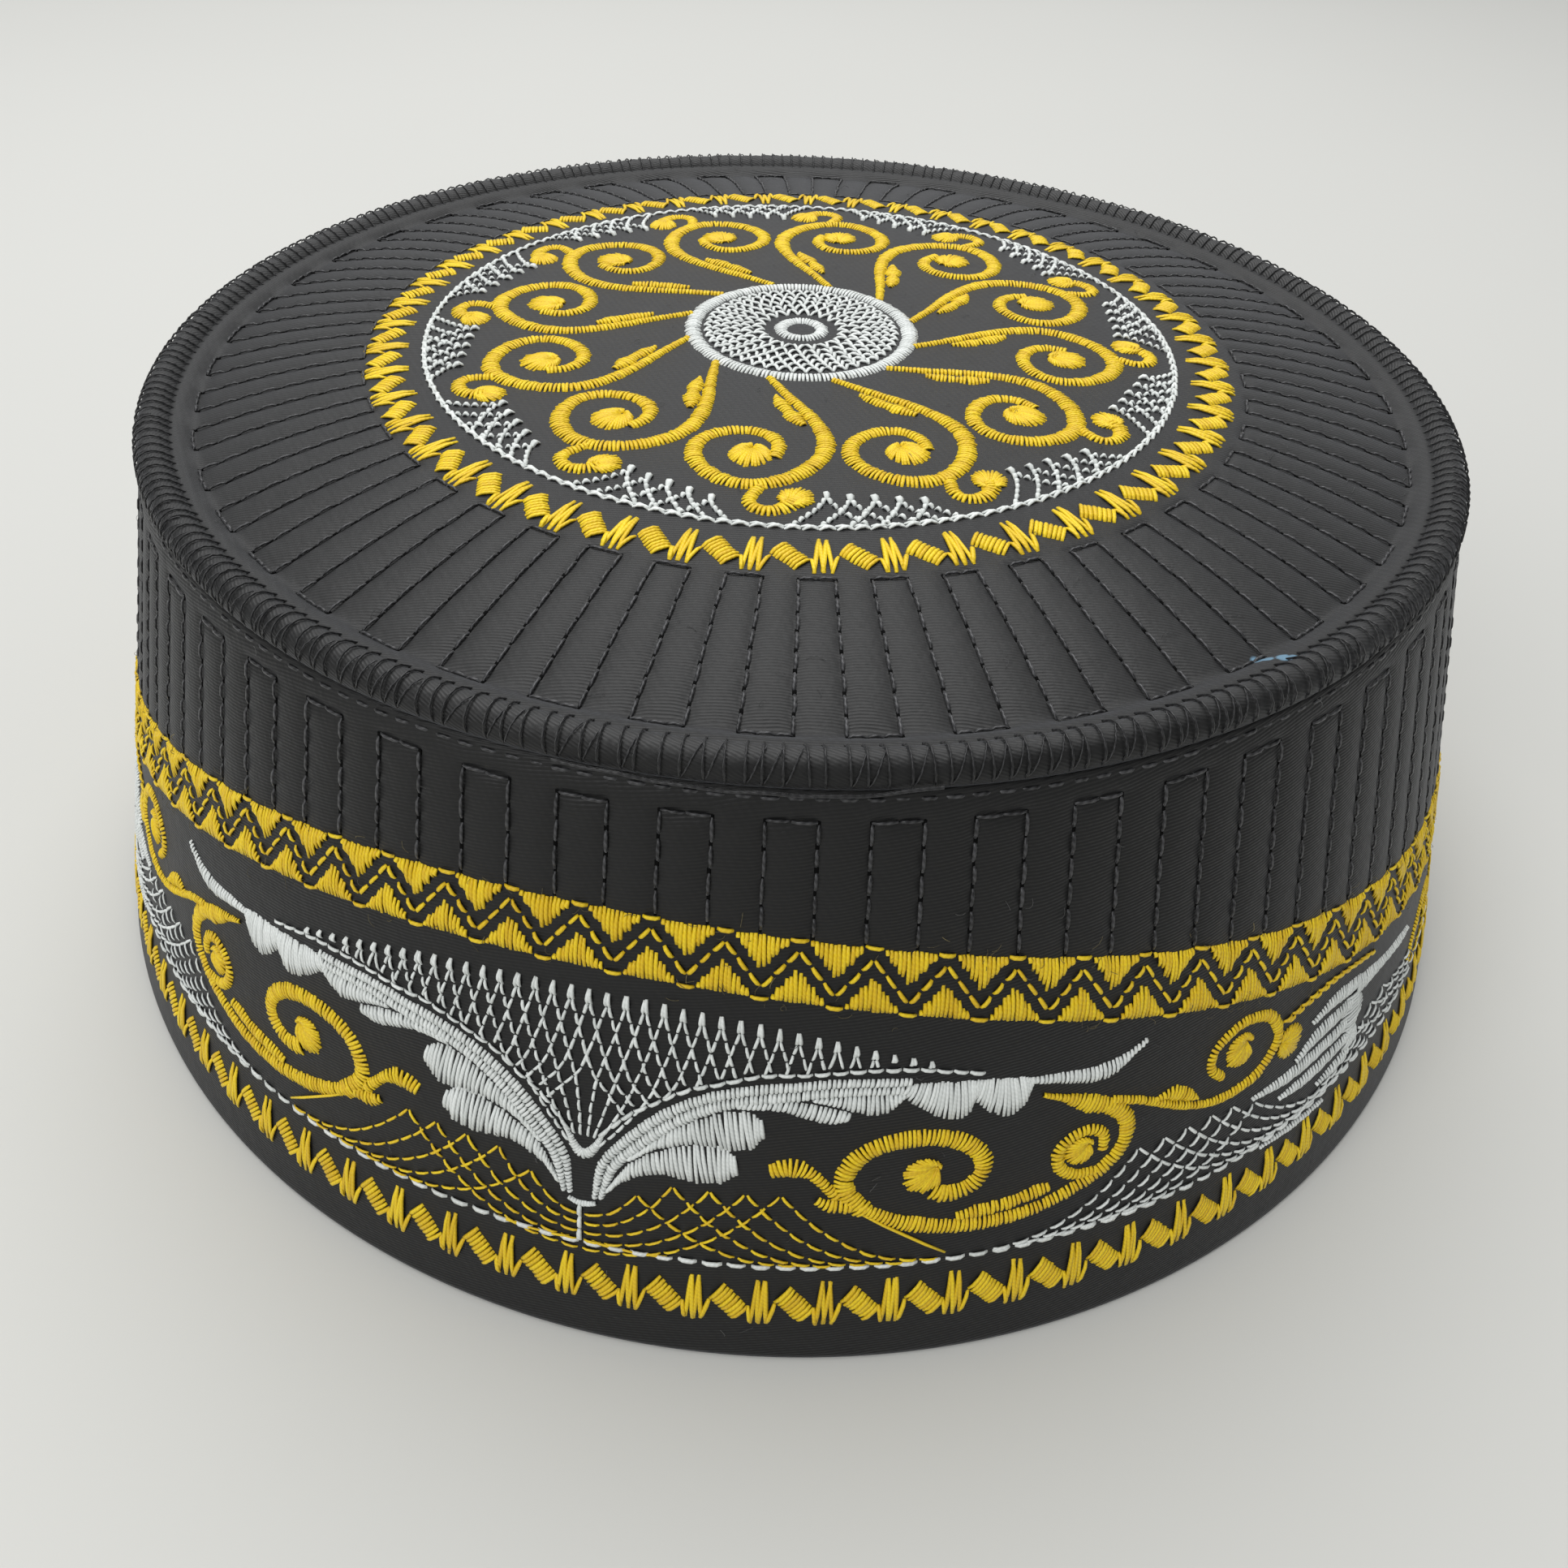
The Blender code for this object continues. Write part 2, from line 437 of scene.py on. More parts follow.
def floor_finish():
    finish = Finish("pale_table", Roughness=0.75, Specular_IOR_Level=0.25)
    place = finish.node("ShaderNodeTexCoord", {}, "Object")
    colour = finish.mix(finish.noise(place, 3.0), (0.60, 0.60, 0.575, 1.0), (0.64, 0.64, 0.615, 1.0))
    return finish.set(Base_Color=colour)


def thread_finish(name, dark, light, roughness, sheen, twist=0.55, ply_shading_share=0.12):
    """Glossy embroidery thread of two twisted plies; each stitch has its own tone. Its lower flanks carry
    painted shade, and the stripes of its twist carry painted light and shade.
    """
    finish = Finish(name, Sheen_Weight=sheen, Sheen_Roughness=0.35, Specular_IOR_Level=0.45)
    length = finish.attribute("thread_length", "Fac")
    share, side, top = finish.axes(finish.attribute("fibre", "Vector"))
    tone = finish.attribute("tone", "Fac")
    phase = share * length * (2 * math.pi / (twist * MM)) + tone * 6.0
    ply = phase.math("SINE") * side + phase.math("COSINE") * top
    place = finish.node("ShaderNodeTexCoord", {}, "Object")
    strand = finish.noise(place, 2600.0, 1.0)
    slow = finish.noise(place, 55.0, 2.0)
    # The twist's stripes in the colour are painted light and shade on the plies; the rest is each stitch's
    # tone and slow and fine changes of tone.
    mixed = tone * 0.55 + slow * 0.35 + ply * ply_shading_share + strand * 0.14
    colour = finish.mix(mixed.clamp(), dark, light)
    # Painted shade: the lower flanks of each thread darken towards three tenths of its dark colour.
    painted_flank_shade = ((0.75 - top) * 0.6).clamp(0.8)
    colour = finish.mix(painted_flank_shade, colour, tuple(level * 0.3 for level in dark[:3]) + (1.0,))
    normal = finish.bump(ply * 0.5 + strand * 0.5, 0.6, 0.00005)
    return finish.set(Base_Color=colour, Roughness=strand * 0.16 + roughness, Normal=normal)


# Near black, painted shade in the holes that the needle leaves in the cloth.
def hole_shade_finish():
    finish = Finish("needle_hole", Roughness=0.95, Specular_IOR_Level=0.1)
    place = finish.node("ShaderNodeTexCoord", {}, "Object")
    colour = finish.mix(finish.noise(place, 900.0), grey(0.001), grey(0.004))
    return finish.set(Base_Color=colour)


class Weaver(Graph):
    """A tree of Geometry Nodes with named inputs, and short ways to its common nodes."""

    def __init__(self, name, **inputs):
        super().__init__(bpy.data.node_groups.new(name, "GeometryNodeTree"))
        face = self.tree.interface
        self.sockets = {}
        for label, kind in (("Geometry", "Geometry"), *inputs.items(), ("Thread", "Material")):
            label = label.replace("_", " ")
            made = face.new_socket(name=label, in_out="INPUT", socket_type="NodeSocket" + kind)
            self.sockets[label] = made.identifier
        face.new_socket(name="Geometry", in_out="OUTPUT", socket_type="NodeSocketGeometry")
        self.entry = self.tree.nodes.new("NodeGroupInput")

    def given(self, label):
        return Value(self, self.entry.outputs[label])

    def read(self, label, kind):
        return self.node("GeometryNodeInputNamedAttribute", {"data_type": kind}, "Attribute", Name=label)

    def store(self, geometry, label, value, kind="FLOAT"):
        return self.node(
            "GeometryNodeStoreNamedAttribute", {"data_type": kind, "domain": "POINT"}, 0,
            Geometry=geometry, Name=label, Value=value,
        )

    def combine(self, x, y, z):
        return self.node("ShaderNodeCombineXYZ", {}, 0, x, y, z)

    def leave(self, geometry):
        real = self.node("GeometryNodeRealizeInstances", {}, 0, geometry)
        even = self.node("GeometryNodeSetShadeSmooth", {}, 0, real)
        ready = self.node("GeometryNodeSetMaterial", {}, 0, Geometry=even, Material=self.given("Thread"))
        self.plug(self.tree.nodes.new("NodeGroupOutput").inputs["Geometry"], ready)
        return self.tree, self.sockets


def draped_tree(name, sides):
    """Geometry Nodes that turn drawn lines into threads; the points carry width and tone."""
    weaver = Weaver(name)
    curve = weaver.node("GeometryNodeMeshToCurve", {}, 0, Mesh=weaver.given("Geometry"))
    run = weaver.node("GeometryNodeSplineParameter", {}, "Length")
    measured = weaver.store(weaver.store(curve, "run", run), "thread_length", 1.0)
    ring = weaver.node("GeometryNodeCurvePrimitiveCircle", {}, 0, Resolution=sides, Radius=0.5)
    place = weaver.node("GeometryNodeInputPosition", {}, 0)
    ringed = weaver.store(ring, "ring", place, "FLOAT_VECTOR")
    thread = weaver.node(
        "GeometryNodeCurveToMesh", {}, 0,
        Curve=measured, Profile_Curve=ringed, Scale=weaver.read("width", "FLOAT"), Fill_Caps=True,
    )
    x, y, z = weaver.axes(weaver.read("ring", "FLOAT_VECTOR"))
    fibre = weaver.combine(weaver.read("run", "FLOAT"), x * 2.0, y * 2.0)
    return weaver.leave(weaver.store(thread, "fibre", fibre, "FLOAT_VECTOR"))


def stitch_tree(name, sides, segments):
    """Geometry Nodes that lay one arched thread on each point, along its stitch."""
    weaver = Weaver(
        name, Seed="Int", Width_spread="Float", Length_spread="Float", Turn_spread="Float", Shift="Float"
    )
    given = weaver.given

    def random(low, high, seed_step, kind="FLOAT"):
        made = weaver.tree.nodes.new("FunctionNodeRandomValue")
        made.data_type = kind
        vector = kind == "FLOAT_VECTOR"
        first = 0 if vector else 2
        weaver.plug(made.inputs[first], low)
        weaver.plug(made.inputs[first + 1], high)
        weaver.plug(made.inputs["Seed"], given("Seed") + seed_step)
        return Value(weaver, made.outputs[0 if vector else 1])

    def varied(value, spread, seed_step):
        """A value made larger or smaller by chance, within a given share of it."""
        return value * (random(-1.0, 1.0, seed_step) * given(spread) + 1.0)

    # One thread of unit length: a round bar that dips into the cloth at both ends
    bar = weaver.node(
        "GeometryNodeMeshCylinder", {"fill_type": "NGON"}, "Mesh",
        Vertices=sides, Side_Segments=segments, Fill_Segments=1, Radius=0.5, Depth=1.0,
    )
    x, y, z = weaver.axes(weaver.node("GeometryNodeInputPosition", {}, 0))
    reach = (z * 2.0).math("ABSOLUTE")
    taper = 1.0 - reach ** 5.0 * 0.24
    arch = 1.0 - reach ** 4.0
    bent = weaver.combine(z, x * taper, y * taper * 0.9 + arch * 0.7 - 0.08)
    fibred = weaver.store(bar, "fibre", weaver.combine(z, x * 2.0, y * 2.0), "FLOAT_VECTOR")
    unit = weaver.node("GeometryNodeSetPosition", {}, 0, Geometry=fibred, Position=bent)

    along = weaver.read("along", "FLOAT_VECTOR")
    length = weaver.node("ShaderNodeVectorMath", {"operation": "LENGTH"}, "Value", along)
    aim = weaver.node(
        "FunctionNodeAxesToRotation", {"primary_axis": "X", "secondary_axis": "Z"}, 0,
        Primary_Axis=along, Secondary_Axis=weaver.read("out", "FLOAT_VECTOR"),
    )
    spread = random((-1.0, -1.0, -0.4), (1.0, 1.0, 0.4), 2, "FLOAT_VECTOR")
    shift = weaver.node("ShaderNodeVectorMath", {"operation": "SCALE"}, 0, spread, Scale=given("Shift"))
    moved = weaver.node("GeometryNodeSetPosition", {}, 0, Geometry=given("Geometry"), Offset=shift)
    toned = weaver.store(moved, "tone", random(0.0, 1.0, 3))
    size = weaver.combine(
        varied(length, "Length spread", 5),
        varied(weaver.read("width", "FLOAT"), "Width spread", 1),
        weaver.read("rise", "FLOAT"),
    )
    laid = weaver.node(
        "GeometryNodeInstanceOnPoints", {}, 0,
        Points=weaver.store(toned, "thread_length", length), Instance=unit, Rotation=aim, Scale=size,
    )
    turned = weaver.node(
        "GeometryNodeRotateInstances", {}, 0,
        Instances=laid, Rotation=weaver.combine(0.0, 0.0, random(-1.0, 1.0, 4) * given("Turn spread")),
    )
    return weaver.leave(turned)


def smooth(points, per_span=12):
    """A Catmull-Rom curve through a drawing's points."""
    p = np.asarray(points, dtype=float)
    ends = np.vstack([2 * p[0] - p[1], p, 2 * p[-1] - p[-2]])
    t = np.linspace(0, 1, per_span, endpoint=False)[:, None]
    spans = []
    for a, b, c, d in zip(ends, ends[1:], ends[2:], ends[3:]):
        curve = 2 * b + (c - a) * t
        curve = curve + (2 * a - 5 * b + 4 * c - d) * t**2
        spans.append(0.5 * (curve + (3 * b - a - 3 * c + d) * t**3))
    return np.vstack(spans + [p[-1:]])


def spaced(curve, pitch=None, count=None):
    """Points evenly spaced along a curve."""
    steps = np.hypot(*np.diff(curve, axis=0).T)
    run = np.concatenate([[0], np.cumsum(steps)])
    if count is None:
        count = max(2, int(round(run[-1] / pitch)) + 1)
    stops = np.linspace(0, run[-1], count)
    return np.stack([np.interp(stops, run, curve[:, axis]) for axis in (0, 1)], axis=1)


def pairs(starts, ends):
    return np.hstack([starts, ends])


def headings(spots):
    """Unit steps along a line of points."""
    ahead = np.gradient(spots, axis=0)
    return ahead / np.hypot(*ahead.T)[:, None]


def rays(angles):
    """Unit steps outwards in plan, each angle counted from the front towards +X."""
    return np.stack([np.sin(angles), -np.cos(angles)], axis=1)


def two_lanes(strokes, lean=0.18):
    """Splits satin stitches down the middle, so that they lie in two leaning lanes."""
    start, end = strokes[:, :2], strokes[:, 2:]
    middle = (start + end) / 2
    ahead = headings(middle)
    return np.vstack([pairs(start, middle - ahead * lean), pairs(middle + ahead * lean, end)])


def ribbon(points, widths, pitch=0.46):
    """Satin stitches across a centre line; widths are (share of its length, width)."""
    spots = spaced(smooth(points), pitch)
    ahead = headings(spots)
    side = np.stack([-ahead[:, 1], ahead[:, 0]], axis=1)
    shares, sizes = zip(*widths)
    half = np.interp(np.linspace(0, 1, len(spots)), shares, sizes)[:, None] / 2
    return pairs(spots + side * half, spots - side * half)


def between(first, second, pitch=0.46):
    """Satin stitches from one edge of a leaf to the other."""
    a = smooth(first)
    b = smooth(second)
    size = max(np.hypot(*np.diff(a, axis=0).T).sum(), np.hypot(*np.diff(b, axis=0).T).sum())
    count = max(3, int(size / pitch))
    return pairs(spaced(a, count=count), spaced(b, count=count))


def running(points, pitch, gap, curved=True):
    """Running stitches along a line, each short of the next by the gap."""
    curve = smooth(points) if curved else np.asarray(points, dtype=float)
    spots = spaced(curve, pitch)
    step = spots[1:] - spots[:-1]
    size = np.hypot(*step.T)[:, None]
    inset = step / size * gap / 2
    return pairs(spots[:-1] + inset, spots[1:] - inset)


def fan(pivot, centre, radius, start, sweep, pitch=0.42):
    """Satin stitches from a pivot to the far edge of a round eye."""
    count = max(4, int(radius * math.radians(sweep) / pitch))
    angles = np.radians(start + np.linspace(0, sweep, count))
    rim = np.stack([centre[0] + radius * np.cos(angles), centre[1] + radius * np.sin(angles)], axis=1)
    hub = np.asarray(pivot) + (rim - pivot) * 0.08
    return pairs(hub, rim)


def bezier(start, control, end, count=14):
    t = np.linspace(0, 1, count)[:, None]
    p, q, r = (np.asarray(point, dtype=float) for point in (start, control, end))
    return p * (1 - t) ** 2 + 2 * q * t * (1 - t) + r * t**2


def on_wall(centre, side=1):
    """Places a wall drawing: x in millimetres either way from a centre azimuth, y the height."""

    def place(x, y):
        return math.radians(centre) + side * x / DRAWING_RADIUS, y

    return place


def both_ways(*centres):
    """The places of a wall drawing's mirror image and of the drawing itself, at each centre azimuth."""
    return [on_wall(centre, side) for centre in centres for side in (-1, 1)]


def on_crown(azimuth=0.0):
    """Places a crown drawing in plan, turned round the medallion's centre."""

    def place(x, y):
        a = math.radians(azimuth)
        east = x * math.cos(a) - y * math.sin(a) + MEDALLION_CENTRE[0]
        north = x * math.sin(a) + y * math.cos(a) + MEDALLION_CENTRE[1]
        return np.arctan2(east, -north), np.hypot(east, north)

    return place


def on_circle(radius, azimuth=0.0):
    """Places a strip drawing round the medallion: x along the circle, y outwards from it."""
    plan = on_crown()

    def place(x, y):
        a = math.radians(azimuth) + x / radius
        r = radius + y
        return plan(r * np.sin(a), -r * np.cos(a))

    return place


class Sewing:
    """The stitches of one piece, gathered before they are laid."""

    def __init__(self, name, surface, thread, tree, seed, shift=0.04, turn=0.035, spread=0.12, reach=0.05):
        self.name = name
        self.surface = surface
        self.thread = thread
        self.tree = tree
        self.inputs = {
            "Shift": shift * MM, "Turn spread": turn,
            "Width spread": spread, "Length spread": reach, "Seed": seed,
        }
        self.batches = []

    def add(self, strokes, place, width=0.5, rise=0.34, lift=0.0):
        s = np.asarray(strokes, dtype=float).reshape(-1, 4)
        self.add_ends(place(s[:, 0], s[:, 1]), place(s[:, 2], s[:, 3]), width, rise, lift)

    def add_ends(self, first, second, width=0.5, rise=0.34, lift=0.0):
        """Stitches between two lists of places on the surface, each an azimuth and a height or radius."""
        start = self.surface(*first, lift)
        end = self.surface(*second, lift)
        middle = (start + end) / 2
        out = self.surface(*first, lift + 1.0) - start + self.surface(*second, lift + 1.0) - end
        self.batches.append((middle, end - start, out, width, rise))

    def finish(self):
        middle = np.vstack([b[0] for b in self.batches])
        mesh = bpy.data.meshes.new(self.name)
        mesh.from_pydata((middle * MM).tolist(), [], [])
        columns = {
            "along": np.vstack([b[1] for b in self.batches]) * MM,
            "out": np.vstack([b[2] for b in self.batches]),
            "width": np.concatenate([np.full(len(b[0]), b[3]) for b in self.batches]) * MM,
            "rise": np.concatenate([np.full(len(b[0]), b[4]) for b in self.batches]) * MM,
        }
        for label, values in columns.items():
            vector = values.ndim == 2
            layer = mesh.attributes.new(label, "FLOAT_VECTOR" if vector else "FLOAT", "POINT")
            layer.data.foreach_set("vector" if vector else "value", values.astype(np.float32).ravel())
        return lay_thread(mesh, self.tree, self.inputs, self.thread)


def lay_thread(mesh, tree, inputs, thread):
    """Lays thread on a mesh by a tree of Geometry Nodes, and keeps what comes as a piece."""
    group, sockets = tree
    material, slot = thread
    source = bpy.data.objects.new(mesh.name, mesh)
    bpy.context.scene.collection.objects.link(source)
    modifier = source.modifiers.new("stitches", "NODES")
    modifier.node_group = group
    for label, value in inputs.items():
        modifier[sockets[label]] = value
    modifier[sockets["Thread"]] = material
    sewn = plain_mesh(source)
    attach(sewn, "root")
    return sewn


def draped(name, lines, thread):
    """Threads that lie along lines, each given as its points in millimetres, its width and its tone."""
    mesh = bpy.data.meshes.new(name)
    counts = [len(points) for points, width, tone in lines]
    firsts = np.concatenate([[0], np.cumsum(counts)])
    edges = [(int(a) + i, int(a) + i + 1) for a, n in zip(firsts, counts) for i in range(n - 1)]
    mesh.from_pydata((np.vstack([line[0] for line in lines]) * MM).tolist(), edges, [])
    width = np.concatenate([np.full(len(points), size) for points, size, tone in lines]) * MM
    tone = np.concatenate([np.full(len(points), share) for points, size, share in lines])
    for label, values in (("width", width), ("tone", tone)):
        mesh.attributes.new(label, "FLOAT", "POINT").data.foreach_set("value", values.astype(np.float32))
    return lay_thread(mesh, DRAPED_THREAD, {}, thread)


def plain_mesh(source):
    """Turns an object with a live modifier into a plain mesh of the same name."""
    graph = bpy.context.evaluated_depsgraph_get()
    made = bpy.data.meshes.new_from_object(source.evaluated_get(graph))
    name = source.name
    old = source.data
    bpy.data.objects.remove(source)
    bpy.data.meshes.remove(old)
    thing = bpy.data.objects.new(name, made)
    made.name = name
    bpy.context.scene.collection.objects.link(thing)
    for label in ("along", "out", "width", "rise", "run", "ring"):
        if label in made.attributes:
            made.attributes.remove(made.attributes[label])
    return thing


# One repeat of the jagged border: a slanted diamond, then a zigzag to the next one; x along, y down
JAGGED_LENGTH = 6.8
JAGGED_DIAMOND = {"left": (0.0, 0.0), "top": (1.6, -2.1), "right": (4.0, 0.6), "bottom": (2.3, 2.4)}
JAGGED_ZIGZAG = ((4.0, 0.6), (4.25, 2.85), (4.86, -2.8), (5.1, 2.85), (5.64, -2.8), (5.9, 2.85), (6.75, 0.1))


def jagged_repeat():
    d = {corner: np.array(place) for corner, place in JAGGED_DIAMOND.items()}
    shares = np.linspace(0, 1, 8)[:, None]
    start = d["left"] + (d["bottom"] - d["left"]) * shares
    diamond = pairs(start, d["top"] + (d["right"] - d["top"]) * shares)
    z = np.array(JAGGED_ZIGZAG)
    return np.vstack([diamond, pairs(z[:-1], z[1:])])


# One scroll of the crown in plan, for an eye at camera azimuth -9.8; x and y from the eye
SCROLL_EYE = (-5.6, -32.5)
SCROLL_TURN = 13.0
SCROLL_BAND = (
    (1.9, 18.4), (4.0, 14.1), (5.9, 10.6), (7.2, 7.7), (8.1, 4.8), (8.3, 2.2), (7.7, -0.3), (6.1, -2.9),
    (3.7, -5.0), (0.8, -6.1), (-2.1, -5.6), (-4.5, -3.7), (-5.9, -1.0), (-5.9, 1.8), (-4.5, 4.0),
    (-2.1, 5.2), (0.5, 5.2), (2.4, 4.0), (3.2, 1.9), (2.7, -0.3),
)
SCROLL_BAND_WIDTHS = ((0, 1.0), (0.15, 1.5), (0.3, 2.1), (0.6, 2.2), (0.75, 1.9), (0.9, 1.8), (1, 1.6))
SCROLL_HOOK = ((1.2, -6.6), (0.2, -9.0), (0.8, -10.5), (2.5, -11.0), (4.1, -10.2), (4.9, -8.9))
SCROLL_BUD = ((2.7, 13.6), (3.6, 11.2), (4.6, 9.1), (5.8, 7.0))
SCROLL_BUD_WIDTHS = ((0, 0.6), (0.18, 1.7), (0.34, 1.9), (0.5, 1.4), (0.7, 2.4), (1, 0.9))


def crown_scroll():
    parts = [
        ribbon(SCROLL_BAND, SCROLL_BAND_WIDTHS),
        ribbon(SCROLL_HOOK, ((0, 1.4), (0.5, 1.7), (1, 2.2))),
        ribbon(SCROLL_BUD, SCROLL_BUD_WIDTHS),
        fan((0.3, 1.6), (0.1, -0.2), 2.4, 95, 330),
        fan((4.2, -9.8), (5.1, -8.4), 1.9, -60, 280),
    ]
    return np.vstack(parts) + np.array(SCROLL_EYE * 2)


def crown_net():
    """Five tines of white net that stand on the chain circle; x along it, y towards the centre."""
    tips = ((-5.7, 5.5), (-3.0, 5.0), (-0.2, 4.7), (2.6, 4.1), (5.4, 3.4))
    tops = []
    legs = []
    for x, y in tips:
        tops.append((x, y + 0.7, x + 0.1, y - 0.5))
        for way in (-1, 1):
            t = np.linspace(0, 1, 12)
            reach = 0.5 + y * 0.6
            path = np.stack([x + way * (0.1 + reach * t**1.3), (y - 0.5) * (1 - t)], axis=1)
            legs.append(running(path, 1.0, 0.22))
    return np.array(tops), np.vstack(legs)


def chain(length, pitch, sway):
    """Two strands that cross at each link of a chain stitch."""
    count = int(round(length / pitch))
    x = np.arange(count) * length / count
    step = length / count
    return np.vstack([
        np.stack([x, x * 0 - sway, x + step * 1.02, x * 0 + sway * 0.6], axis=1),
        np.stack([x, x * 0 + sway, x + step * 1.02, x * 0 - sway * 0.6], axis=1),
    ])


def spokes(inner, outer, count):
    """Radial satin stitches of a ring, in plan."""
    a = np.arange(count) * 2 * math.pi / count
    return pairs(rays(a) * inner, rays(a) * outer)


# The hub's scales, row by row: how many, and where each row's tips and feet lie
HUB_ROWS = (
    # scales, radius of the tips, radius of the feet
    (20, 4.6, 6.2),
    (26, 6.1, 7.7),
    (32, 7.5, 9.0),
    (37, 8.8, 10.2),
    (42, 10.0, 11.3),
    (46, 11.1, 12.2),
)


def hub_scales():
    parts = []
    for row, (count, tip, foot) in enumerate(HUB_ROWS):
        a = (np.arange(count) + 0.5 * (row % 2)) * 2 * math.pi / count
        half = math.pi / count
        for way in (-1, 1):
            parts.append(pairs(rays(a) * tip, rays(a + way * half) * foot))
    return np.vstack(parts)


BORDER_REPEATS = 78
BORDER_START = 3.77


def border_place(x, y):
    """x in repeats of the gold border, y its share from the top edge down."""
    azimuth = math.radians(BORDER_START) + x * 2 * math.pi / BORDER_REPEATS
    top = border_top(azimuth)
    return azimuth, top + (border_bottom(azimuth) - top) * y


def border_triangles():
    """Upright satin stitches of a triangle below the top edge and one above the bottom edge."""
    count = 12
    offset = np.linspace(-0.33, 0.33, count)
    depth = 0.08 + 0.46 * (1 - np.abs(offset) / 0.35)
    depth = depth + 0.02 * np.where(np.arange(count) % 2, 1, -1)
    down = np.stack([offset + 0.5, offset * 0, offset * 0.97 + 0.5, depth], axis=1)
    up = np.stack([offset, offset * 0 + 1, offset * 0.97, 1 - depth], axis=1)
    return np.vstack([down, up])


def border_running():
    """The yellow running zigzag and the level stitch at each of its turns."""
    strokes = []
    turns = np.array(((0.0, 0.17), (0.5, 0.83), (1.0, 0.17)))
    for start, end in zip(turns, turns[1:]):
        for k in range(3):
            a = start + (end - start) * (k + 0.1) / 3
            b = start + (end - start) * (k + 0.9) / 3
            strokes.append((*a, *b))
    strokes.append((-0.12, 0.0, 0.12, 0.0))
    strokes.append((0.38, 1.0, 0.62, 1.0))
    return np.array(strokes)


# The right wing of the white acanthus: edges as x and height from the front's middle
SPINE = (
    (1.6, 19.6), (2.6, 24.0), (5.4, 27.8), (8.6, 31.0), (12.2, 33.3), (16.2, 34.6), (20.6, 35.3),
    (25.0, 35.8), (31.7, 35.7),
)
SPINE_WIDTHS = ((0, 1.2), (0.1, 2.0), (0.3, 2.5), (0.65, 2.3), (1, 1.8))
LEAVES = {
    "tail": (
        ((43.8, 34.7), (47.6, 34.5), (50.8, 34.2), (53.2, 34.4), (55.2, 34.9), (56.9, 35.7)),
        ((43.6, 34.0), (46.0, 33.5), (48.4, 32.9), (51.0, 32.3), (53.6, 32.7), (56.7, 35.1)),
    ),
    "first": (
        ((38.6, 35.5), (41.2, 35.2), (43.0, 35.0), (44.4, 34.6)),
        ((38.0, 33.6), (39.3, 32.0), (40.8, 30.9), (42.3, 30.7), (43.5, 31.8), (44.2, 33.9)),
    ),
    "second": (
        ((31.8, 35.9), (34.6, 35.8), (36.8, 35.6), (38.8, 35.4)),
        ((30.8, 34.6), (32.6, 33.2), (34.6, 31.8), (36.3, 31.1), (37.7, 31.8), (38.4, 33.8)),
    ),
    "third": (
        ((22.8, 34.7), (26.4, 34.9), (29.2, 35.0), (31.1, 35.0)),
        ((22.3, 34.2), (25.7, 33.2), (28.2, 32.5), (29.9, 32.9), (31.0, 34.1)),
    ),
    "fourth": (
        ((15.4, 33.8), (18.8, 34.2), (21.8, 34.0), (24.0, 33.5), (25.9, 32.9)),
        ((15.0, 32.9), (18.8, 33.0), (21.4, 32.3), (23.6, 31.6), (25.4, 31.8)),
    ),
    "broad": (
        ((5.0, 25.8), (7.8, 28.8), (10.9, 31.1), (13.9, 32.5), (16.0, 32.7), (17.3, 31.9)),
        ((4.4, 24.9), (7.4, 27.0), (10.8, 28.1), (14.2, 27.9), (16.4, 28.2), (17.6, 29.6)),
    ),
    "lowest": (
        ((3.0, 21.6), (5.0, 25.0), (8.6, 27.3), (11.8, 28.3), (13.8, 28.1), (14.9, 27.3)),
        ((2.4, 20.3), (4.2, 22.3), (7.6, 23.9), (11.4, 23.5), (13.8, 23.7), (15.2, 24.9)),
    ),
}
# White satin at the foot of the net between the wings, and where the wings meet
CUP = ((-1.7, 27.1), (-0.9, 25.4), (0.0, 24.7), (0.9, 25.4), (1.7, 27.1))
CLUSTER = ((-1.3, 18.6), (0.0, 18.2), (1.3, 18.6))


def acanthus_wing():
    parts = [two_lanes(ribbon(SPINE, SPINE_WIDTHS))]
    parts += [between(*edges) for edges in LEAVES.values()]
    return np.vstack(parts)


# The white spray and net of a side, mirrored about it: x from the side's middle, and height
SIDE_LEAVES = (
    (((47.7, 25.8), (53.0, 26.7), (57.8, 25.6)), ((49.0, 24.2), (53.6, 24.9), (57.5, 25.1))),
    (((49.4, 23.8), (56.3, 24.0), (60.5, 22.0)), ((50.0, 22.0), (56.0, 21.9), (60.2, 21.4))),
    (((50.4, 21.4), (61.0, 21.1), (67.5, 20.8)), ((51.0, 19.6), (61.0, 19.3), (67.2, 20.3))),
    (((50.6, 19.0), (58.5, 18.6), (63.0, 18.2)), ((50.8, 17.3), (58.5, 16.9), (62.8, 17.7))),
    (((49.6, 16.7), (53.0, 16.2), (56.0, 15.6)), ((49.8, 15.2), (52.5, 14.6), (55.7, 15.1))),
    (
        ((48.2, 25.8), (41.2, 24.0), (36.0, 22.9), (32.4, 21.9)),
        ((48.4, 23.0), (41.2, 22.4), (36.0, 21.4), (32.6, 21.3)),
    ),
    (((47.4, 23.6), (46.4, 21.2), (47.6, 19.2)), ((50.6, 23.8), (51.6, 21.4), (51.0, 19.4))),
)
SIDE_SCROLL = (
    (31.0, 15.4), (27.0, 18.2), (22.4, 19.2), (18.6, 17.8), (18.4, 15.6), (20.6, 14.7), (22.4, 15.9),
)
SIDE_ROPE = ((62.6, 28.4), (57.8, 29.0), (52.3, 28.8), (44.3, 26.9))


def side_spray():
    parts = [between(*edges) for edges in SIDE_LEAVES]
    parts.append(fan((49.4, 18.2), (49.2, 17.6), 1.7, 0, 330))
    parts.append(ribbon(((65.6, 12.5), (60.1, 12.1), (54.6, 11.9)), ((0, 0.4), (0.5, 1.0), (1, 0.6))))
    return np.vstack(parts)


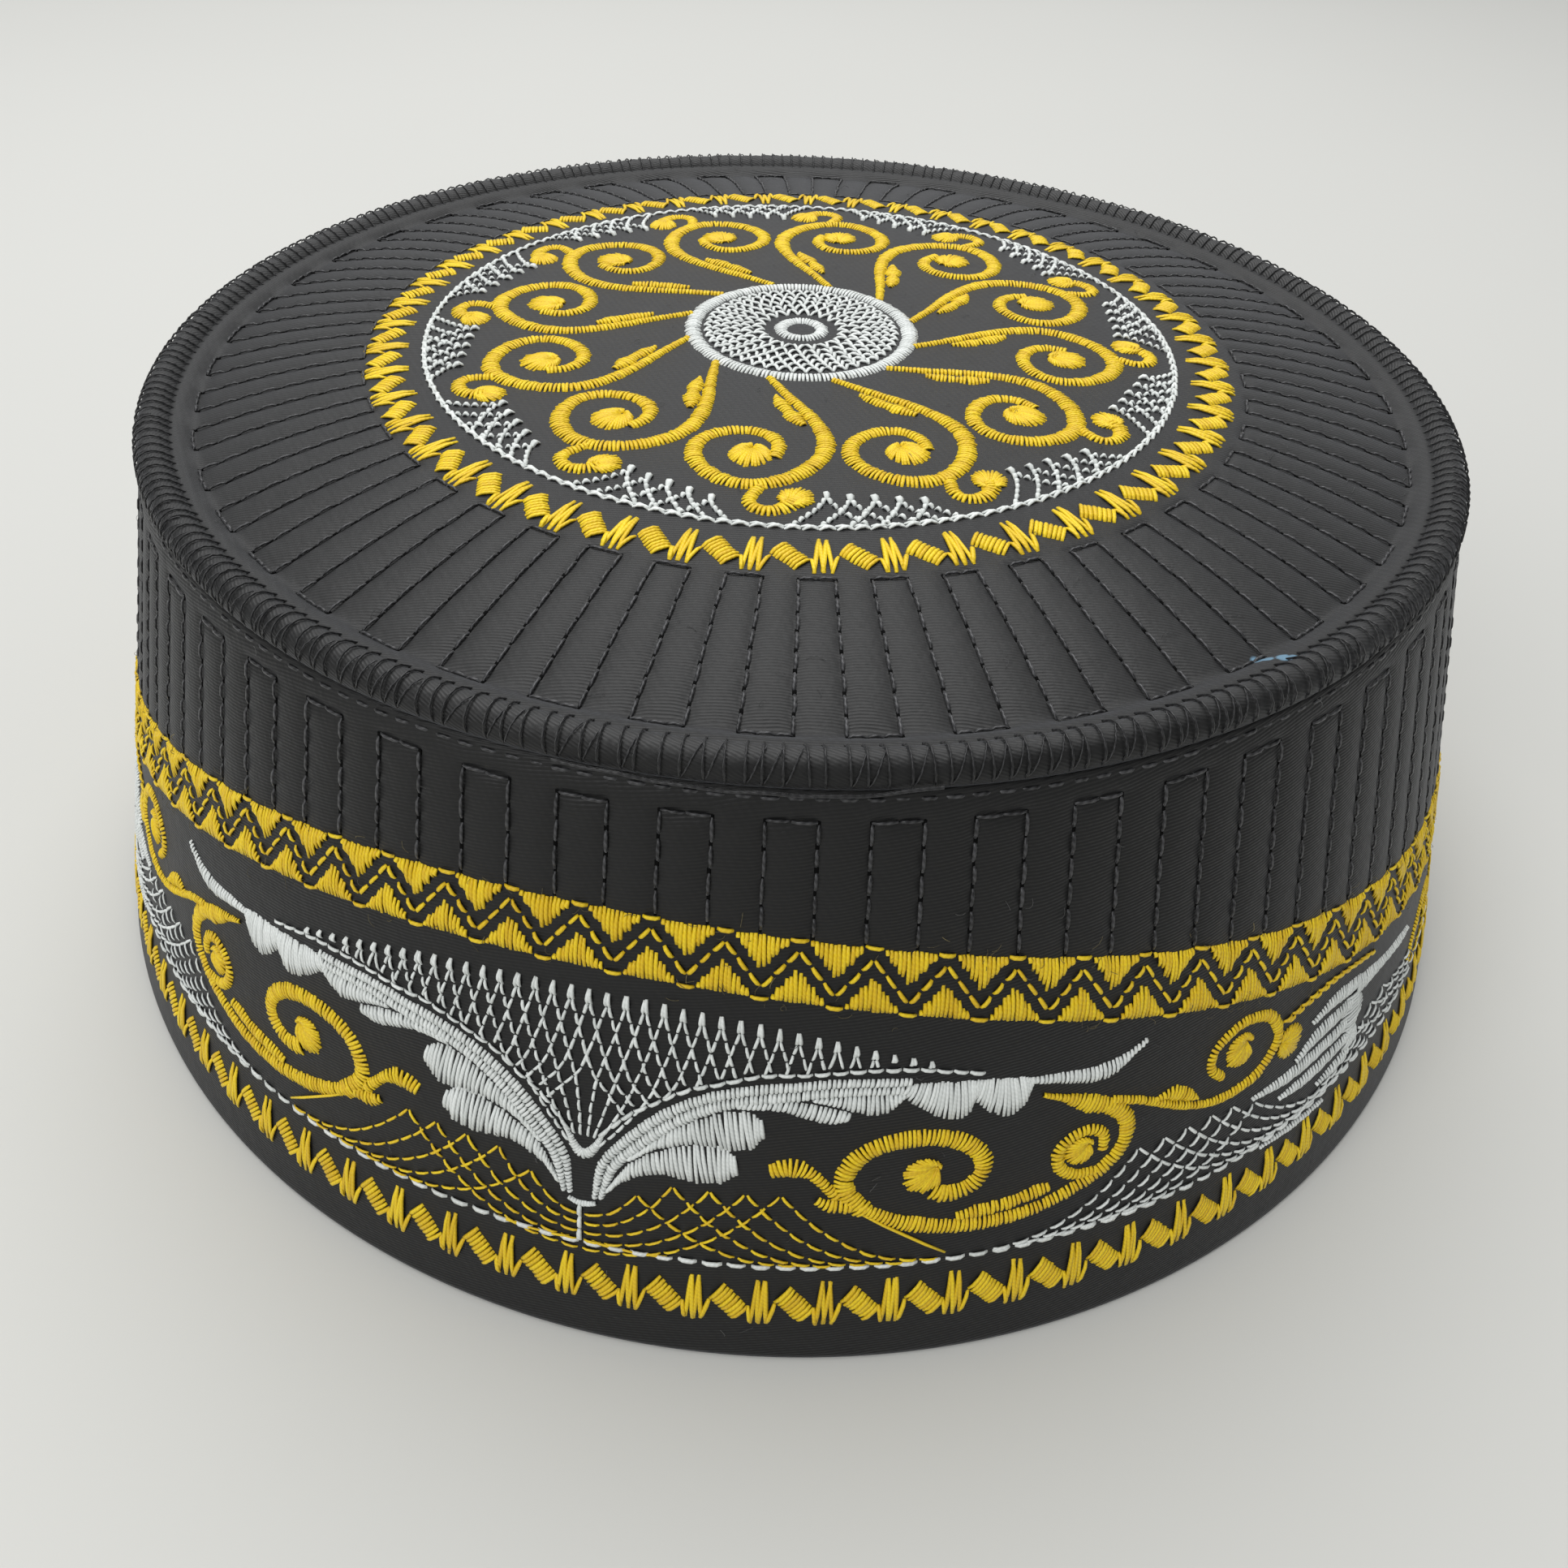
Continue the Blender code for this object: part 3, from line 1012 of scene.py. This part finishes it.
# The net over the wings: its tines' tops, and the running line at its foot
NET_PITCH = 1.87
NET_TINES = 19
NET_TOP = (
    (0.0, 44.2), (5.0, 44.2), (9.0, 43.8), (12.9, 43.4), (16.6, 42.9), (20.4, 42.1), (24.3, 41.1),
    (28.0, 40.0), (31.6, 39.0), (35.0, 37.9),
)
NET_FOOT = (
    (1.4, 27.2), (4.8, 31.1), (6.8, 32.4), (9.6, 34.4), (12.4, 35.5), (15.2, 36.5), (17.6, 37.1),
    (21.6, 37.3), (25.6, 37.7), (31.2, 37.7), (35.2, 37.1), (39.2, 36.2),
)
NET_BEND = 34.5
NET_CUP = 25.9
NET_CUP_TINES = (3.0, 10.0)


def net_level(table, x):
    return float(np.interp(x, *zip(*table)))


def net_leg(x, start, way):
    """One leg of a tine, from under its top until the foot line or the cup between the wings."""
    cupped = way * x < 0 and NET_CUP_TINES[0] < abs(x) < NET_CUP_TINES[1]
    path = [(x + 0.12 * way, start)]
    offset = 0.12
    depth = 0.0
    while len(path) < 90:
        depth += 0.25
        height = start - depth
        if height > NET_BEND:
            offset = 0.12 + 0.2765 * depth * (1 + 0.0015 * depth * depth)
        elif cupped:
            break
        else:
            offset += 0.25 * 0.8
        spot = x + way * offset
        if height < net_level(NET_FOOT, abs(spot)):
            break
        path.append((spot, height))
    if cupped:
        end = (-way * (0.3 + (abs(x) - 3.7) * 0.2), NET_CUP)
        control = (path[-1][0] + way * 0.6, path[-1][1] - 2.6)
        path += bezier(path[-1], control, end).tolist()[1:]
    return np.array(path)


def fan_net():
    """White tines, their crossing legs and the foot line, for the right half."""
    tops = []
    legs = []
    for k in range(-4, NET_TINES):
        x = k * NET_PITCH
        top = net_level(NET_TOP, abs(x))
        size = float(np.interp(abs(x), (0, 20, 35), (1.6, 1.4, 0.7)))
        for way in (-1, 1):
            if k >= 0:
                tops.append((x + 0.04 * way, top, x + 0.2 * way, top - size))
            path = net_leg(x, top - size * 0.95, way)
            path = path[path[:, 0] >= -0.4]
            if len(path) > 4:
                legs.append(running(path[::2], 1.45, 0.2))
    foot = running(NET_FOOT, 1.7, 0.15)
    return np.array(tops), np.vstack(legs), foot


def small_net(peaks, height, floor, inner_limit=None):
    """Peaks of running stitch whose legs sweep down to the white line on both sides."""
    parts = []
    for x, peak in zip(peaks, height):
        for way in (-1, 1):
            reach = 16.0
            low = floor
            if way < 0 and inner_limit is not None:
                reach = max(5.0, x - inner_limit)
                low = floor + (16.0 - reach) * 0.32
            t = np.linspace(0, 1, 10)
            path = np.stack([x + way * reach * t, low + (peak - low) * (1 - t) ** 2.3], axis=1)
            parts.append(running(path, 2.1, 0.35))
    return np.vstack(parts)


# The yellow scrolls right of the front's middle
WALL_SCROLLS = {
    # name: (points of the centre line, widths by share of length)
    "spiral": (
        ((27.8, 20.6), (25.9, 22.9), (25.7, 25.1), (27.2, 27.6), (30.0, 29.0), (33.6, 29.3), (37.0, 28.4),
         (39.2, 26.4), (39.5, 24.1), (38.2, 22.5), (36.0, 21.9), (34.6, 22.4)),
        ((0, 2.2), (0.4, 2.0), (0.8, 1.9), (1, 2.1)),
    ),
    "stem": (
        ((27.4, 20.9), (31.2, 18.9), (35.6, 17.7), (40.0, 17.3), (44.8, 17.7), (48.8, 18.9), (52.2, 20.4),
         (54.6, 22.4), (55.4, 24.7), (54.8, 27.0), (53.0, 28.8)),
        ((0, 1.4), (0.15, 2.0), (0.5, 1.6), (0.75, 1.8), (1, 2.0)),
    ),
    "tip_leaf": (
        ((53.4, 28.6), (51.0, 29.6), (48.4, 31.0), (45.6, 32.2)),
        ((0, 1.9), (0.35, 2.3), (0.7, 1.0), (1, 0.5)),
    ),
    "middle_ring": (
        ((51.8, 20.6), (49.4, 21.0), (47.8, 22.4), (47.6, 24.4), (48.9, 25.9), (51.0, 26.3),
         (52.6, 25.2), (52.6, 23.4)),
        ((0, 1.3), (0.5, 1.5), (1, 1.2)),
    ),
    "tail": (
        ((18.6, 25.7), (20.4, 26.2), (22.2, 25.6), (23.6, 24.2), (25.0, 22.6)),
        ((0, 1.8), (0.15, 2.2), (0.35, 2.2), (0.5, 1.4), (0.7, 1.2), (1, 1.4)),
    ),
    "bulb": (((23.2, 22.0), (24.4, 21.4), (26.4, 21.2)), ((0, 1.0), (0.5, 1.9), (1, 1.5))),
    "long_stem": (
        ((53.4, 29.3), (56.8, 28.0), (59.6, 26.4), (63.2, 24.5), (66.4, 23.5), (69.6, 23.3), (73.2, 24.1),
         (75.9, 27.2), (74.2, 30.8), (70.2, 32.0), (66.6, 30.6), (65.8, 28.2), (67.4, 26.3)),
        ((0, 1.0), (0.3, 1.0), (0.5, 1.6), (1, 1.2)),
    ),
    "stem_leaf": (
        ((37.2, 18.7), (39.6, 19.0), (42.6, 19.3), (45.0, 19.9), (46.6, 20.2)),
        ((0, 1.2), (0.2, 1.8), (0.7, 1.6), (0.85, 1.9), (1, 1.3)),
    ),
    "stem_bud": (
        ((58.8, 27.3), (60.6, 27.3), (62.4, 26.4), (64.0, 25.2)),
        ((0, 0.5), (0.4, 1.9), (0.8, 1.5), (1, 0.5)),
    ),
}
WALL_EYES = (
    # pivot, centre, radius, first angle, sweep
    ((34.9, 25.6), (33.5, 24.5), 2.1, 30, 290),
    ((51.0, 24.6), (50.0, 23.8), 1.7, 30, 290),
    ((70.8, 29.4), (69.9, 28.5), 2.1, 30, 290),
    ((76.4, 25.9), (78.0, 25.4), 2.1, -160, 300),
)


def wall_scrolls():
    parts = [ribbon(points, widths) for points, widths in WALL_SCROLLS.values()]
    parts += [fan(*eye) for eye in WALL_EYES]
    return np.vstack(parts)


def make_stage():
    """A pale table top, with soft light from above and a pale room round it."""
    reach = 3.0
    corners = [(-reach, -reach, 0), (reach, -reach, 0), (reach, reach, 0), (-reach, reach, 0)]
    table = mesh_object("table_top", np.array(corners) / MM, [(0, 1, 2, 3)])
    table.data.materials.append(floor_finish())
    world = bpy.data.worlds.new("pale_room")
    bpy.context.scene.world = world
    world.use_nodes = True
    world.node_tree.nodes["Background"].inputs["Color"].default_value = (0.86, 0.87, 0.87, 1.0)
    world.node_tree.nodes["Background"].inputs["Strength"].default_value = 0.50
    add_light("overhead_softbox", (-0.15, 0.35, 0.95), (0.0, 0.0, 0.05), 0.9, 7.5)
    add_light("front_softbox", (-0.45, -0.80, 0.80), (0.0, -0.1, 0.0), 0.7, 5.0)


def add_light(name, place, target, size, power):
    light = bpy.data.lights.new(name, "AREA")
    light.shape = "DISK"
    light.size = size
    light.energy = power
    lamp = bpy.data.objects.new(name, light)
    lamp.location = place
    lamp.rotation_euler = (Vector(target) - Vector(place)).to_track_quat("-Z", "Y").to_euler()
    bpy.context.scene.collection.objects.link(lamp)


# The camera, as the photograph was taken: round from the front, above the floor, a little rolled
CAMERA_AZIMUTH = math.radians(11.6)
CAMERA_DISTANCE = 0.16594
CAMERA_HEIGHT = 0.14348
CAMERA_YAW = -0.0011
CAMERA_PITCH = 0.7253
CAMERA_ROLL = 0.0490
CAMERA_LENS = 31.31


def make_camera():
    cos_p = math.cos(CAMERA_PITCH)
    forward = Vector((math.sin(CAMERA_YAW) * cos_p, math.cos(CAMERA_YAW) * cos_p, -math.sin(CAMERA_PITCH)))
    level = Vector((math.cos(CAMERA_YAW), -math.sin(CAMERA_YAW), 0.0))
    upright = level.cross(forward)
    right = level * math.cos(CAMERA_ROLL) + upright * math.sin(CAMERA_ROLL)
    up = upright * math.cos(CAMERA_ROLL) - level * math.sin(CAMERA_ROLL)
    aim = Matrix((right, up, -forward)).transposed()
    data = bpy.data.cameras.new("photo_view")
    data.lens = CAMERA_LENS
    data.sensor_width = 36.0
    data.clip_start = 0.01
    camera = bpy.data.objects.new("photo_view", data)
    round_axis = Matrix.Rotation(CAMERA_AZIMUTH, 3, "Z")
    place = Matrix.Translation(round_axis @ Vector((0.0, -CAMERA_DISTANCE, CAMERA_HEIGHT)))
    camera.matrix_world = place @ (round_axis @ aim).to_4x4()
    bpy.context.scene.collection.objects.link(camera)
    bpy.context.scene.camera = camera


make_camera()
make_stage()
bpy.context.scene.view_settings.view_transform = "Standard"

BLUE_RUBS = ((55.4, -48.94, 0.7), (56.3, -49.1, 0.6), (57.6, -49.06, 0.75), (58.6, -48.96, 0.6))
# One black satin in lit and shaded copies: the crown's greys are raised as painted light from above, and the
# upright wall's greys are lowered as painted shade.
crown_satin = satin_cloth("crown_satin", grey(0.010), grey(0.027), CAMERA_AZIMUTH, sheen=0.2, marks=BLUE_RUBS)
wall_satin = satin_cloth("wall_satin", grey(0.004), grey(0.011), math.radians(8))
# The roll's copy has raised greys, painted light on its top, and painted shade on its outer face past a run
# of 5.9.
roll_satin = satin_cloth("roll_satin", grey(0.016), grey(0.040), math.radians(24), sheen=0.2, painted_shade_beyond=5.9)
# Each thread is a material and its slot
gold_ply = thread_finish("gold_thread", (0.70, 0.43, 0.005, 1.0), (0.97, 0.72, 0.012, 1.0), 0.40, 0.04)
white_ply = thread_finish("white_thread", (0.62, 0.65, 0.63, 1.0), (0.90, 0.93, 0.91, 1.0), 0.42, 0.1)
# The black thread's light grey is partly its own tone and partly painted highlight on its plies, and its
# large twist share paints light and shade on them.
black_ply = thread_finish(
    "black_thread", (0.006, 0.006, 0.007, 1.0), (0.060, 0.060, 0.064, 1.0), 0.30, 0.15,
    twist=0.8, ply_shading_share=0.4,
)
gold = (gold_ply, "gold_thread")
white = (white_ply, "white_thread")
black = (black_ply, "black_thread")
needle_hole = (hole_shade_finish(), "black_thread")

for piece, material, node in (
    (make_crown(), crown_satin, "crown_panel"),
    (make_side_wall(), wall_satin, "side_wall"),
    (make_roll(), roll_satin, "rim_welt"),
):
    piece.data.materials.append(material)
    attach(piece, "root")
    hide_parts(node)

SATIN_STITCH = stitch_tree("satin_stitch", 5, 3)
LONG_STITCH = stitch_tree("long_stitch", 5, 4)
HOLE_SHADE_STITCH = stitch_tree("needle_mark", 6, 1)
DRAPED_THREAD = draped_tree("draped_thread", 5)

# How loosely the satin stitches lie: spreads of their turn, width and length
LOOSE = {"turn": 0.08, "spread": 0.16, "reach": 0.09}

# Width and rise of stitches, in millimetres
SCROLL_SATIN = (0.47, 0.34)
LEAF_SATIN = (0.48, 0.34)
JAGGED_STITCH = (0.55, 0.38)
FINE_STITCH = (0.36, 0.28)
NET_STITCH = (0.42, 0.3)


def sew_crown_gold():
    sewing = Sewing("crown_gold_embroidery", crown_surface, gold, SATIN_STITCH, 11, **LOOSE)
    scroll = crown_scroll()
    for k in range(12):
        sewing.add(scroll, on_crown(SCROLL_TURN + 30 * k), *SCROLL_SATIN)
    return sewing.finish()


RING_REPEATS = 47
RING_START = 9.6
RING_RADIUS = 50.9


def sew_crown_ring():
    sewing = Sewing("crown_jagged_ring", crown_surface, gold, LONG_STITCH, seed=12)
    repeat = jagged_repeat()
    stretch = 2 * math.pi * RING_RADIUS / RING_REPEATS / JAGGED_LENGTH
    for k in range(RING_REPEATS):
        place = on_circle(RING_RADIUS, RING_START + 360 / RING_REPEATS * k)
        sewing.add(repeat * np.array((stretch, 0.94, stretch, 0.94)), place, *JAGGED_STITCH)
    return sewing.finish()


CHAIN_RADIUS = 46.3


def sew_crown_white():
    sewing = Sewing("crown_white_embroidery", crown_surface, white, SATIN_STITCH, 13, reach=0.09)
    plan = on_crown()
    sewing.add(spokes(12.6, 14.6, 180), plan, 0.46, 0.36)
    sewing.add(spokes(1.8, 3.4, 42), plan, 0.42, 0.36)
    sewing.add(hub_scales(), plan, 0.5, 0.38)
    circle = on_circle(CHAIN_RADIUS)
    sewing.add(chain(2 * math.pi * CHAIN_RADIUS, 1.75, 0.3), circle, 0.5, 0.34)
    tops, legs = crown_net()
    for k in range(12):
        place = on_circle(CHAIN_RADIUS - 0.2, 23.7 + 30 * k)
        flip = np.array((1, -1, 1, -1))
        sewing.add(tops * flip, place, 0.85, 0.5)
        sewing.add(legs * flip, place, 0.6, 0.42)
    return sewing.finish()


def sew_wall_border():
    triangles = Sewing("wall_gold_triangles", wall_surface, gold, SATIN_STITCH, 21, turn=0.04)
    line = Sewing("wall_gold_zigzag", wall_surface, gold, LONG_STITCH, seed=22)
    shape = border_triangles()
    turns = border_running()
    for k in range(BORDER_REPEATS):
        shift = np.array((k, 0, k, 0))
        triangles.add(shape + shift, border_place, 0.49, 0.34)
        line.add(turns + shift, border_place, 0.46, 0.34)
    return triangles.finish(), line.finish()


FOOT_REPEATS = 87
FOOT_START = 24.1 - 4.138 * 5.3 / 6.8
FOOT_HEIGHT = 8.3


def sew_wall_foot():
    sewing = Sewing("wall_jagged_border", wall_surface, gold, LONG_STITCH, seed=23)
    repeat = jagged_repeat()
    stretch = 2 * math.pi * DRAWING_RADIUS / FOOT_REPEATS / JAGGED_LENGTH
    drawn = repeat * np.array((stretch, -1.05, stretch, -1.05)) + np.array((0, FOOT_HEIGHT, 0, FOOT_HEIGHT))
    for k in range(FOOT_REPEATS):
        sewing.add(drawn, on_wall(FOOT_START + 360 / FOOT_REPEATS * k), *JAGGED_STITCH)
    return sewing.finish()


WHITE_LINE = 13.2


def sew_wall_gold():
    sewing = Sewing("wall_gold_scrolls", wall_surface, gold, SATIN_STITCH, 24, **LOOSE)
    net = Sewing("wall_gold_nets", wall_surface, gold, LONG_STITCH, seed=25)
    scrolls = wall_scrolls()
    peaks = small_net((5.5, 9.0, 12.6, 16.2, 19.6), (20.8, 22.6, 22.6, 22.6, 22.6), WHITE_LINE + 0.2, 0.1)
    strays = np.array([
        (27.8, 20.2, 36.0, 14.0), (1.2, 13.5, 3.4, 13.3), (3.9, 13.3, 6.0, 13.2), (6.5, 13.3, 8.8, 13.3),
    ])
    middle = small_net((3.2, 6.6, 10.0, 13.4), (20.6, 20.2, 19.4, 18.2), WHITE_LINE + 0.2, 0.1)
    strand = running(SIDE_ROPE, 1.5, 0.1)
    rope = np.vstack([strand, strand + np.array((0.7, 0.32, 0.7, 0.32))])
    side_scroll = ribbon(SIDE_SCROLL, ((0, 0.8), (0.4, 1.6), (1, 1.2)))
    for place in both_ways(0, 180):
        sewing.add(scrolls, place, *SCROLL_SATIN)
        net.add(peaks, place, *FINE_STITCH)
        net.add(strays, place, *FINE_STITCH)
    for place in both_ways(90, 270):
        sewing.add(side_scroll, place, *SCROLL_SATIN)
        net.add(middle, place, *FINE_STITCH)
        net.add(rope, place, 0.5, 0.34)
    return sewing.finish(), net.finish()


def sew_wall_white():
    sewing = Sewing("wall_acanthus", wall_surface, white, SATIN_STITCH, 26, turn=0.05, reach=0.07)
    net = Sewing("wall_white_nets", wall_surface, white, LONG_STITCH, seed=27)
    wing = acanthus_wing()
    tops, legs, foot = fan_net()
    side_net = small_net(
        (57.0, 60.2, 63.2, 66.4, 69.4, 72.8), (21.6, 21.6, 21.6, 21.6, 21.2, 19.8), WHITE_LINE + 0.2
    )
    spray = side_spray()
    stalk = running([(-0.2, 18.1), (-0.1, WHITE_LINE)], 1.7, 0.1, curved=False)
    spray_net = small_net((37.0, 40.4, 43.8, 47.2), (17.6, 18.8, 18.8, 17.4), WHITE_LINE + 0.2, 30.0)
    for centre in (0, 180):
        for place, side_place in zip(both_ways(centre), both_ways(centre + 90)):
            sewing.add(wing, place, *LEAF_SATIN)
            sewing.add(tops, place, 0.44, 0.4)
            net.add(legs, place, *FINE_STITCH)
            net.add(foot, place, 0.46, 0.32)
            net.add(side_net, place, *NET_STITCH)
            sewing.add(spray, side_place, *LEAF_SATIN)
            net.add(spray_net, side_place, *NET_STITCH)
        sewing.add(ribbon(CUP, ((0, 0.5), (0.5, 1.3), (1, 0.5)), 0.3), on_wall(centre), *NET_STITCH)
        sewing.add(ribbon(CLUSTER, ((0, 0.5), (0.5, 0.8), (1, 0.5)), 0.3), on_wall(centre), *NET_STITCH)
        net.add(stalk, on_wall(centre), 0.55, 0.34)
    turn_length = 2 * math.pi * DRAWING_RADIUS
    level = running([(0, WHITE_LINE), (turn_length, WHITE_LINE)], 2.4, 0.5, curved=False)
    net.add(level, on_wall(0), 0.6, 0.34)
    return sewing.finish(), net.finish()


QUILT_STITCH = 2.45


def hole_shade_spots(line, size=0.55):
    """Short dark marks where the stitches of a running line meet: painted shade in the needle holes."""
    first = line[:, :2]
    last = line[:, 2:]
    spots = np.vstack([first[:1], (last[:-1] + first[1:]) / 2, last[-1:]])
    ahead = (last[0] - first[0]) / np.hypot(*(last[0] - first[0])) * size / 2
    return pairs(spots - ahead, spots + ahead)


def quilt(sewing, marks, azimuth, line, bar):
    """One quilting line, the bar to the next where there is one, and the painted shade in their needle holes.
    """

    def place(x, y):
        return azimuth + x, y

    sewing.add(line, place, 0.36, 0.28, 0.1)
    marks.add(hole_shade_spots(line), place, 0.5, 0.26, 0.06)
    if bar is not None:
        sewing.add(bar, place, 0.36, 0.28, 0.1)


def sew_crown_quilting():
    sewing = Sewing("crown_quilting", crown_surface, black, LONG_STITCH, 31, shift=0.07)
    marks = Sewing("crown_hole_shades", crown_surface, needle_hole, HOLE_SHADE_STITCH, 33, spread=0.3)
    step = 2 * math.pi / CROWN_LINES
    for k in range(CROWN_LINES):
        line = running([(0, CROWN_LINE_INNER), (0, CROWN_LINE_OUTER)], QUILT_STITCH, 0.35, curved=False)
        radius = CROWN_LINE_INNER if k % 2 else CROWN_LINE_OUTER
        bar = running([(0, radius), (step, radius)], step / (2 if k % 2 else 3), 0.0, curved=False)
        quilt(sewing, marks, CROWN_LINE_START + step * k, line, bar)
    return sewing.finish(), marks.finish()


def sew_wall_quilting():
    sewing = Sewing("wall_quilting", wall_surface, black, LONG_STITCH, 32, shift=0.07)
    marks = Sewing("wall_hole_shades", wall_surface, needle_hole, HOLE_SHADE_STITCH, 34, spread=0.3)
    step = 2 * math.pi / WALL_LINES
    for k in range(WALL_LINES):
        azimuth = WALL_LINE_START + step * k
        low = float(border_top(azimuth)) + 0.2
        line = running([(0, WALL_LINE_TOP), (0, low)], QUILT_STITCH, 0.35, curved=False)
        bar = running([(0, WALL_LINE_TOP), (step, WALL_LINE_TOP)], step / 2, 0.0, curved=False)
        quilt(sewing, marks, azimuth, line, bar if k % 2 else None)
    ends = [(0, SEAM_HEIGHT), (2 * math.pi, SEAM_HEIGHT)]
    seam = running(ends, 2.3 / TOP_RADIUS, 0.3 / TOP_RADIUS, curved=False)
    sewing.add(seam, lambda x, y: (x, y), 0.4, 0.3, -0.35)
    return sewing.finish(), marks.finish()


OVERCAST_ARC = (
    # radius and height of a thread that is wound over the padded roll, from its inner side
    (76.0, 68.45), (76.5, 68.85), (77.2, 69.4), (78.05, 69.72), (78.85, 69.62), (79.6, 69.2),
    (80.1, 68.5), (80.2, 67.7), (79.95, 67.0),
)


def sew_rim():
    """The overcast stitches that bind the padded roll, and a loose thread in the crevice below it."""
    chance = np.random.default_rng(41)
    arc = np.array(OVERCAST_ARC)
    share = np.linspace(0, 1, len(arc))
    under = arc[::-1][: len(arc) * 2 // 3]
    under_share = np.linspace(0, 1, len(under))
    step = 2 * math.pi / OVERCASTS
    lines = []
    for k in range(OVERCASTS):
        azimuth = step * (k + chance.normal(0, 0.07))
        lean = step * chance.normal(0.12, 0.14)
        tone = chance.uniform(0.35, 1.0)
        lines.append((turn(azimuth + lean * share, arc[:, 0], arc[:, 1]), 0.24, tone))
        if chance.uniform() < 0.75:
            back = turn(azimuth + lean + (step - lean) * under_share, under[:, 0] - 0.05, under[:, 1] - 0.06)
            # Painted shade: the strand that runs back beneath the wound strands gets seven tenths of their
            # tone.
            lines.append((back, 0.15, tone * 0.7))
    along = np.linspace(-4.5, 33.0, 60)
    sway = 0.12 * np.sin(along * 0.9) + 0.1 * np.sin(along * 0.37 + 1)
    level = np.interp(along, (-4.5, 10, 23, 33), (66.9, 66.5, 66.35, 67.2)) + sway
    lines.append((turn(along / DRAWING_RADIUS, 80.42 + sway * 0.5, level), 0.34, 0.8))
    return draped("rim_overcast", lines, black)


def sew_fibres(name, seed, count, surface, place, thread, size=0.8):
    """Loose fibres, each a short curl that lies close on the cloth."""
    chance = np.random.default_rng(seed)
    lines = []
    for _ in range(count):
        azimuth, level, radius = place(chance)
        heading = chance.uniform(0, 2 * math.pi)
        bend = chance.normal(0, 1.1)
        run = np.linspace(0, chance.uniform(0.7, 2.0) * size, 5)
        angle = heading + bend * run / run[-1]
        east = np.cumsum(np.cos(angle)) * run[1]
        up = np.cumsum(np.sin(angle)) * run[1]
        lift = 0.12 + 0.35 * np.sin(math.pi * np.linspace(0, 1, 5)) * chance.uniform(0, 1)
        points = [surface(azimuth + e / radius, level + u, lift=l) for e, u, l in zip(east, up, lift)]
        lines.append((np.array(points), chance.uniform(0.035, 0.06), chance.uniform(0, 1)))
    return draped(name, lines, thread)


def near_border(chance):
    azimuth = chance.uniform(0, 2 * math.pi)
    edge = border_top(azimuth) if chance.uniform() < 0.5 else border_bottom(azimuth)
    return azimuth, edge + chance.normal(0, 0.7), 90.0


def on_the_wall(chance):
    return chance.uniform(0, 2 * math.pi), chance.uniform(2, 66), 86.0


def on_the_crown(chance):
    return chance.uniform(0, 2 * math.pi), 75.0 * math.sqrt(chance.uniform(0.01, 1)), 50.0


sew_crown_gold()
sew_crown_ring()
sew_crown_white()
sew_wall_border()
sew_wall_foot()
sew_wall_gold()
sew_wall_white()
sew_crown_quilting()
sew_wall_quilting()
sew_rim()
fuzz_fibre = thread_finish("gold_fuzz", (0.10, 0.08, 0.04, 1.0), (0.42, 0.34, 0.12, 1.0), 0.6, 0.2)
lint_fibre = thread_finish("grey_lint", (0.05, 0.05, 0.055, 1.0), (0.26, 0.26, 0.25, 1.0), 0.6, 0.2)
fuzz = (fuzz_fibre, "gold_thread")
lint = (lint_fibre, "black_thread")
sew_fibres("border_fuzz", 61, 520, wall_surface, near_border, fuzz)
sew_fibres("wall_lint", 62, 240, wall_surface, on_the_wall, lint)
sew_fibres("crown_lint", 63, 180, crown_surface, on_the_crown, lint)
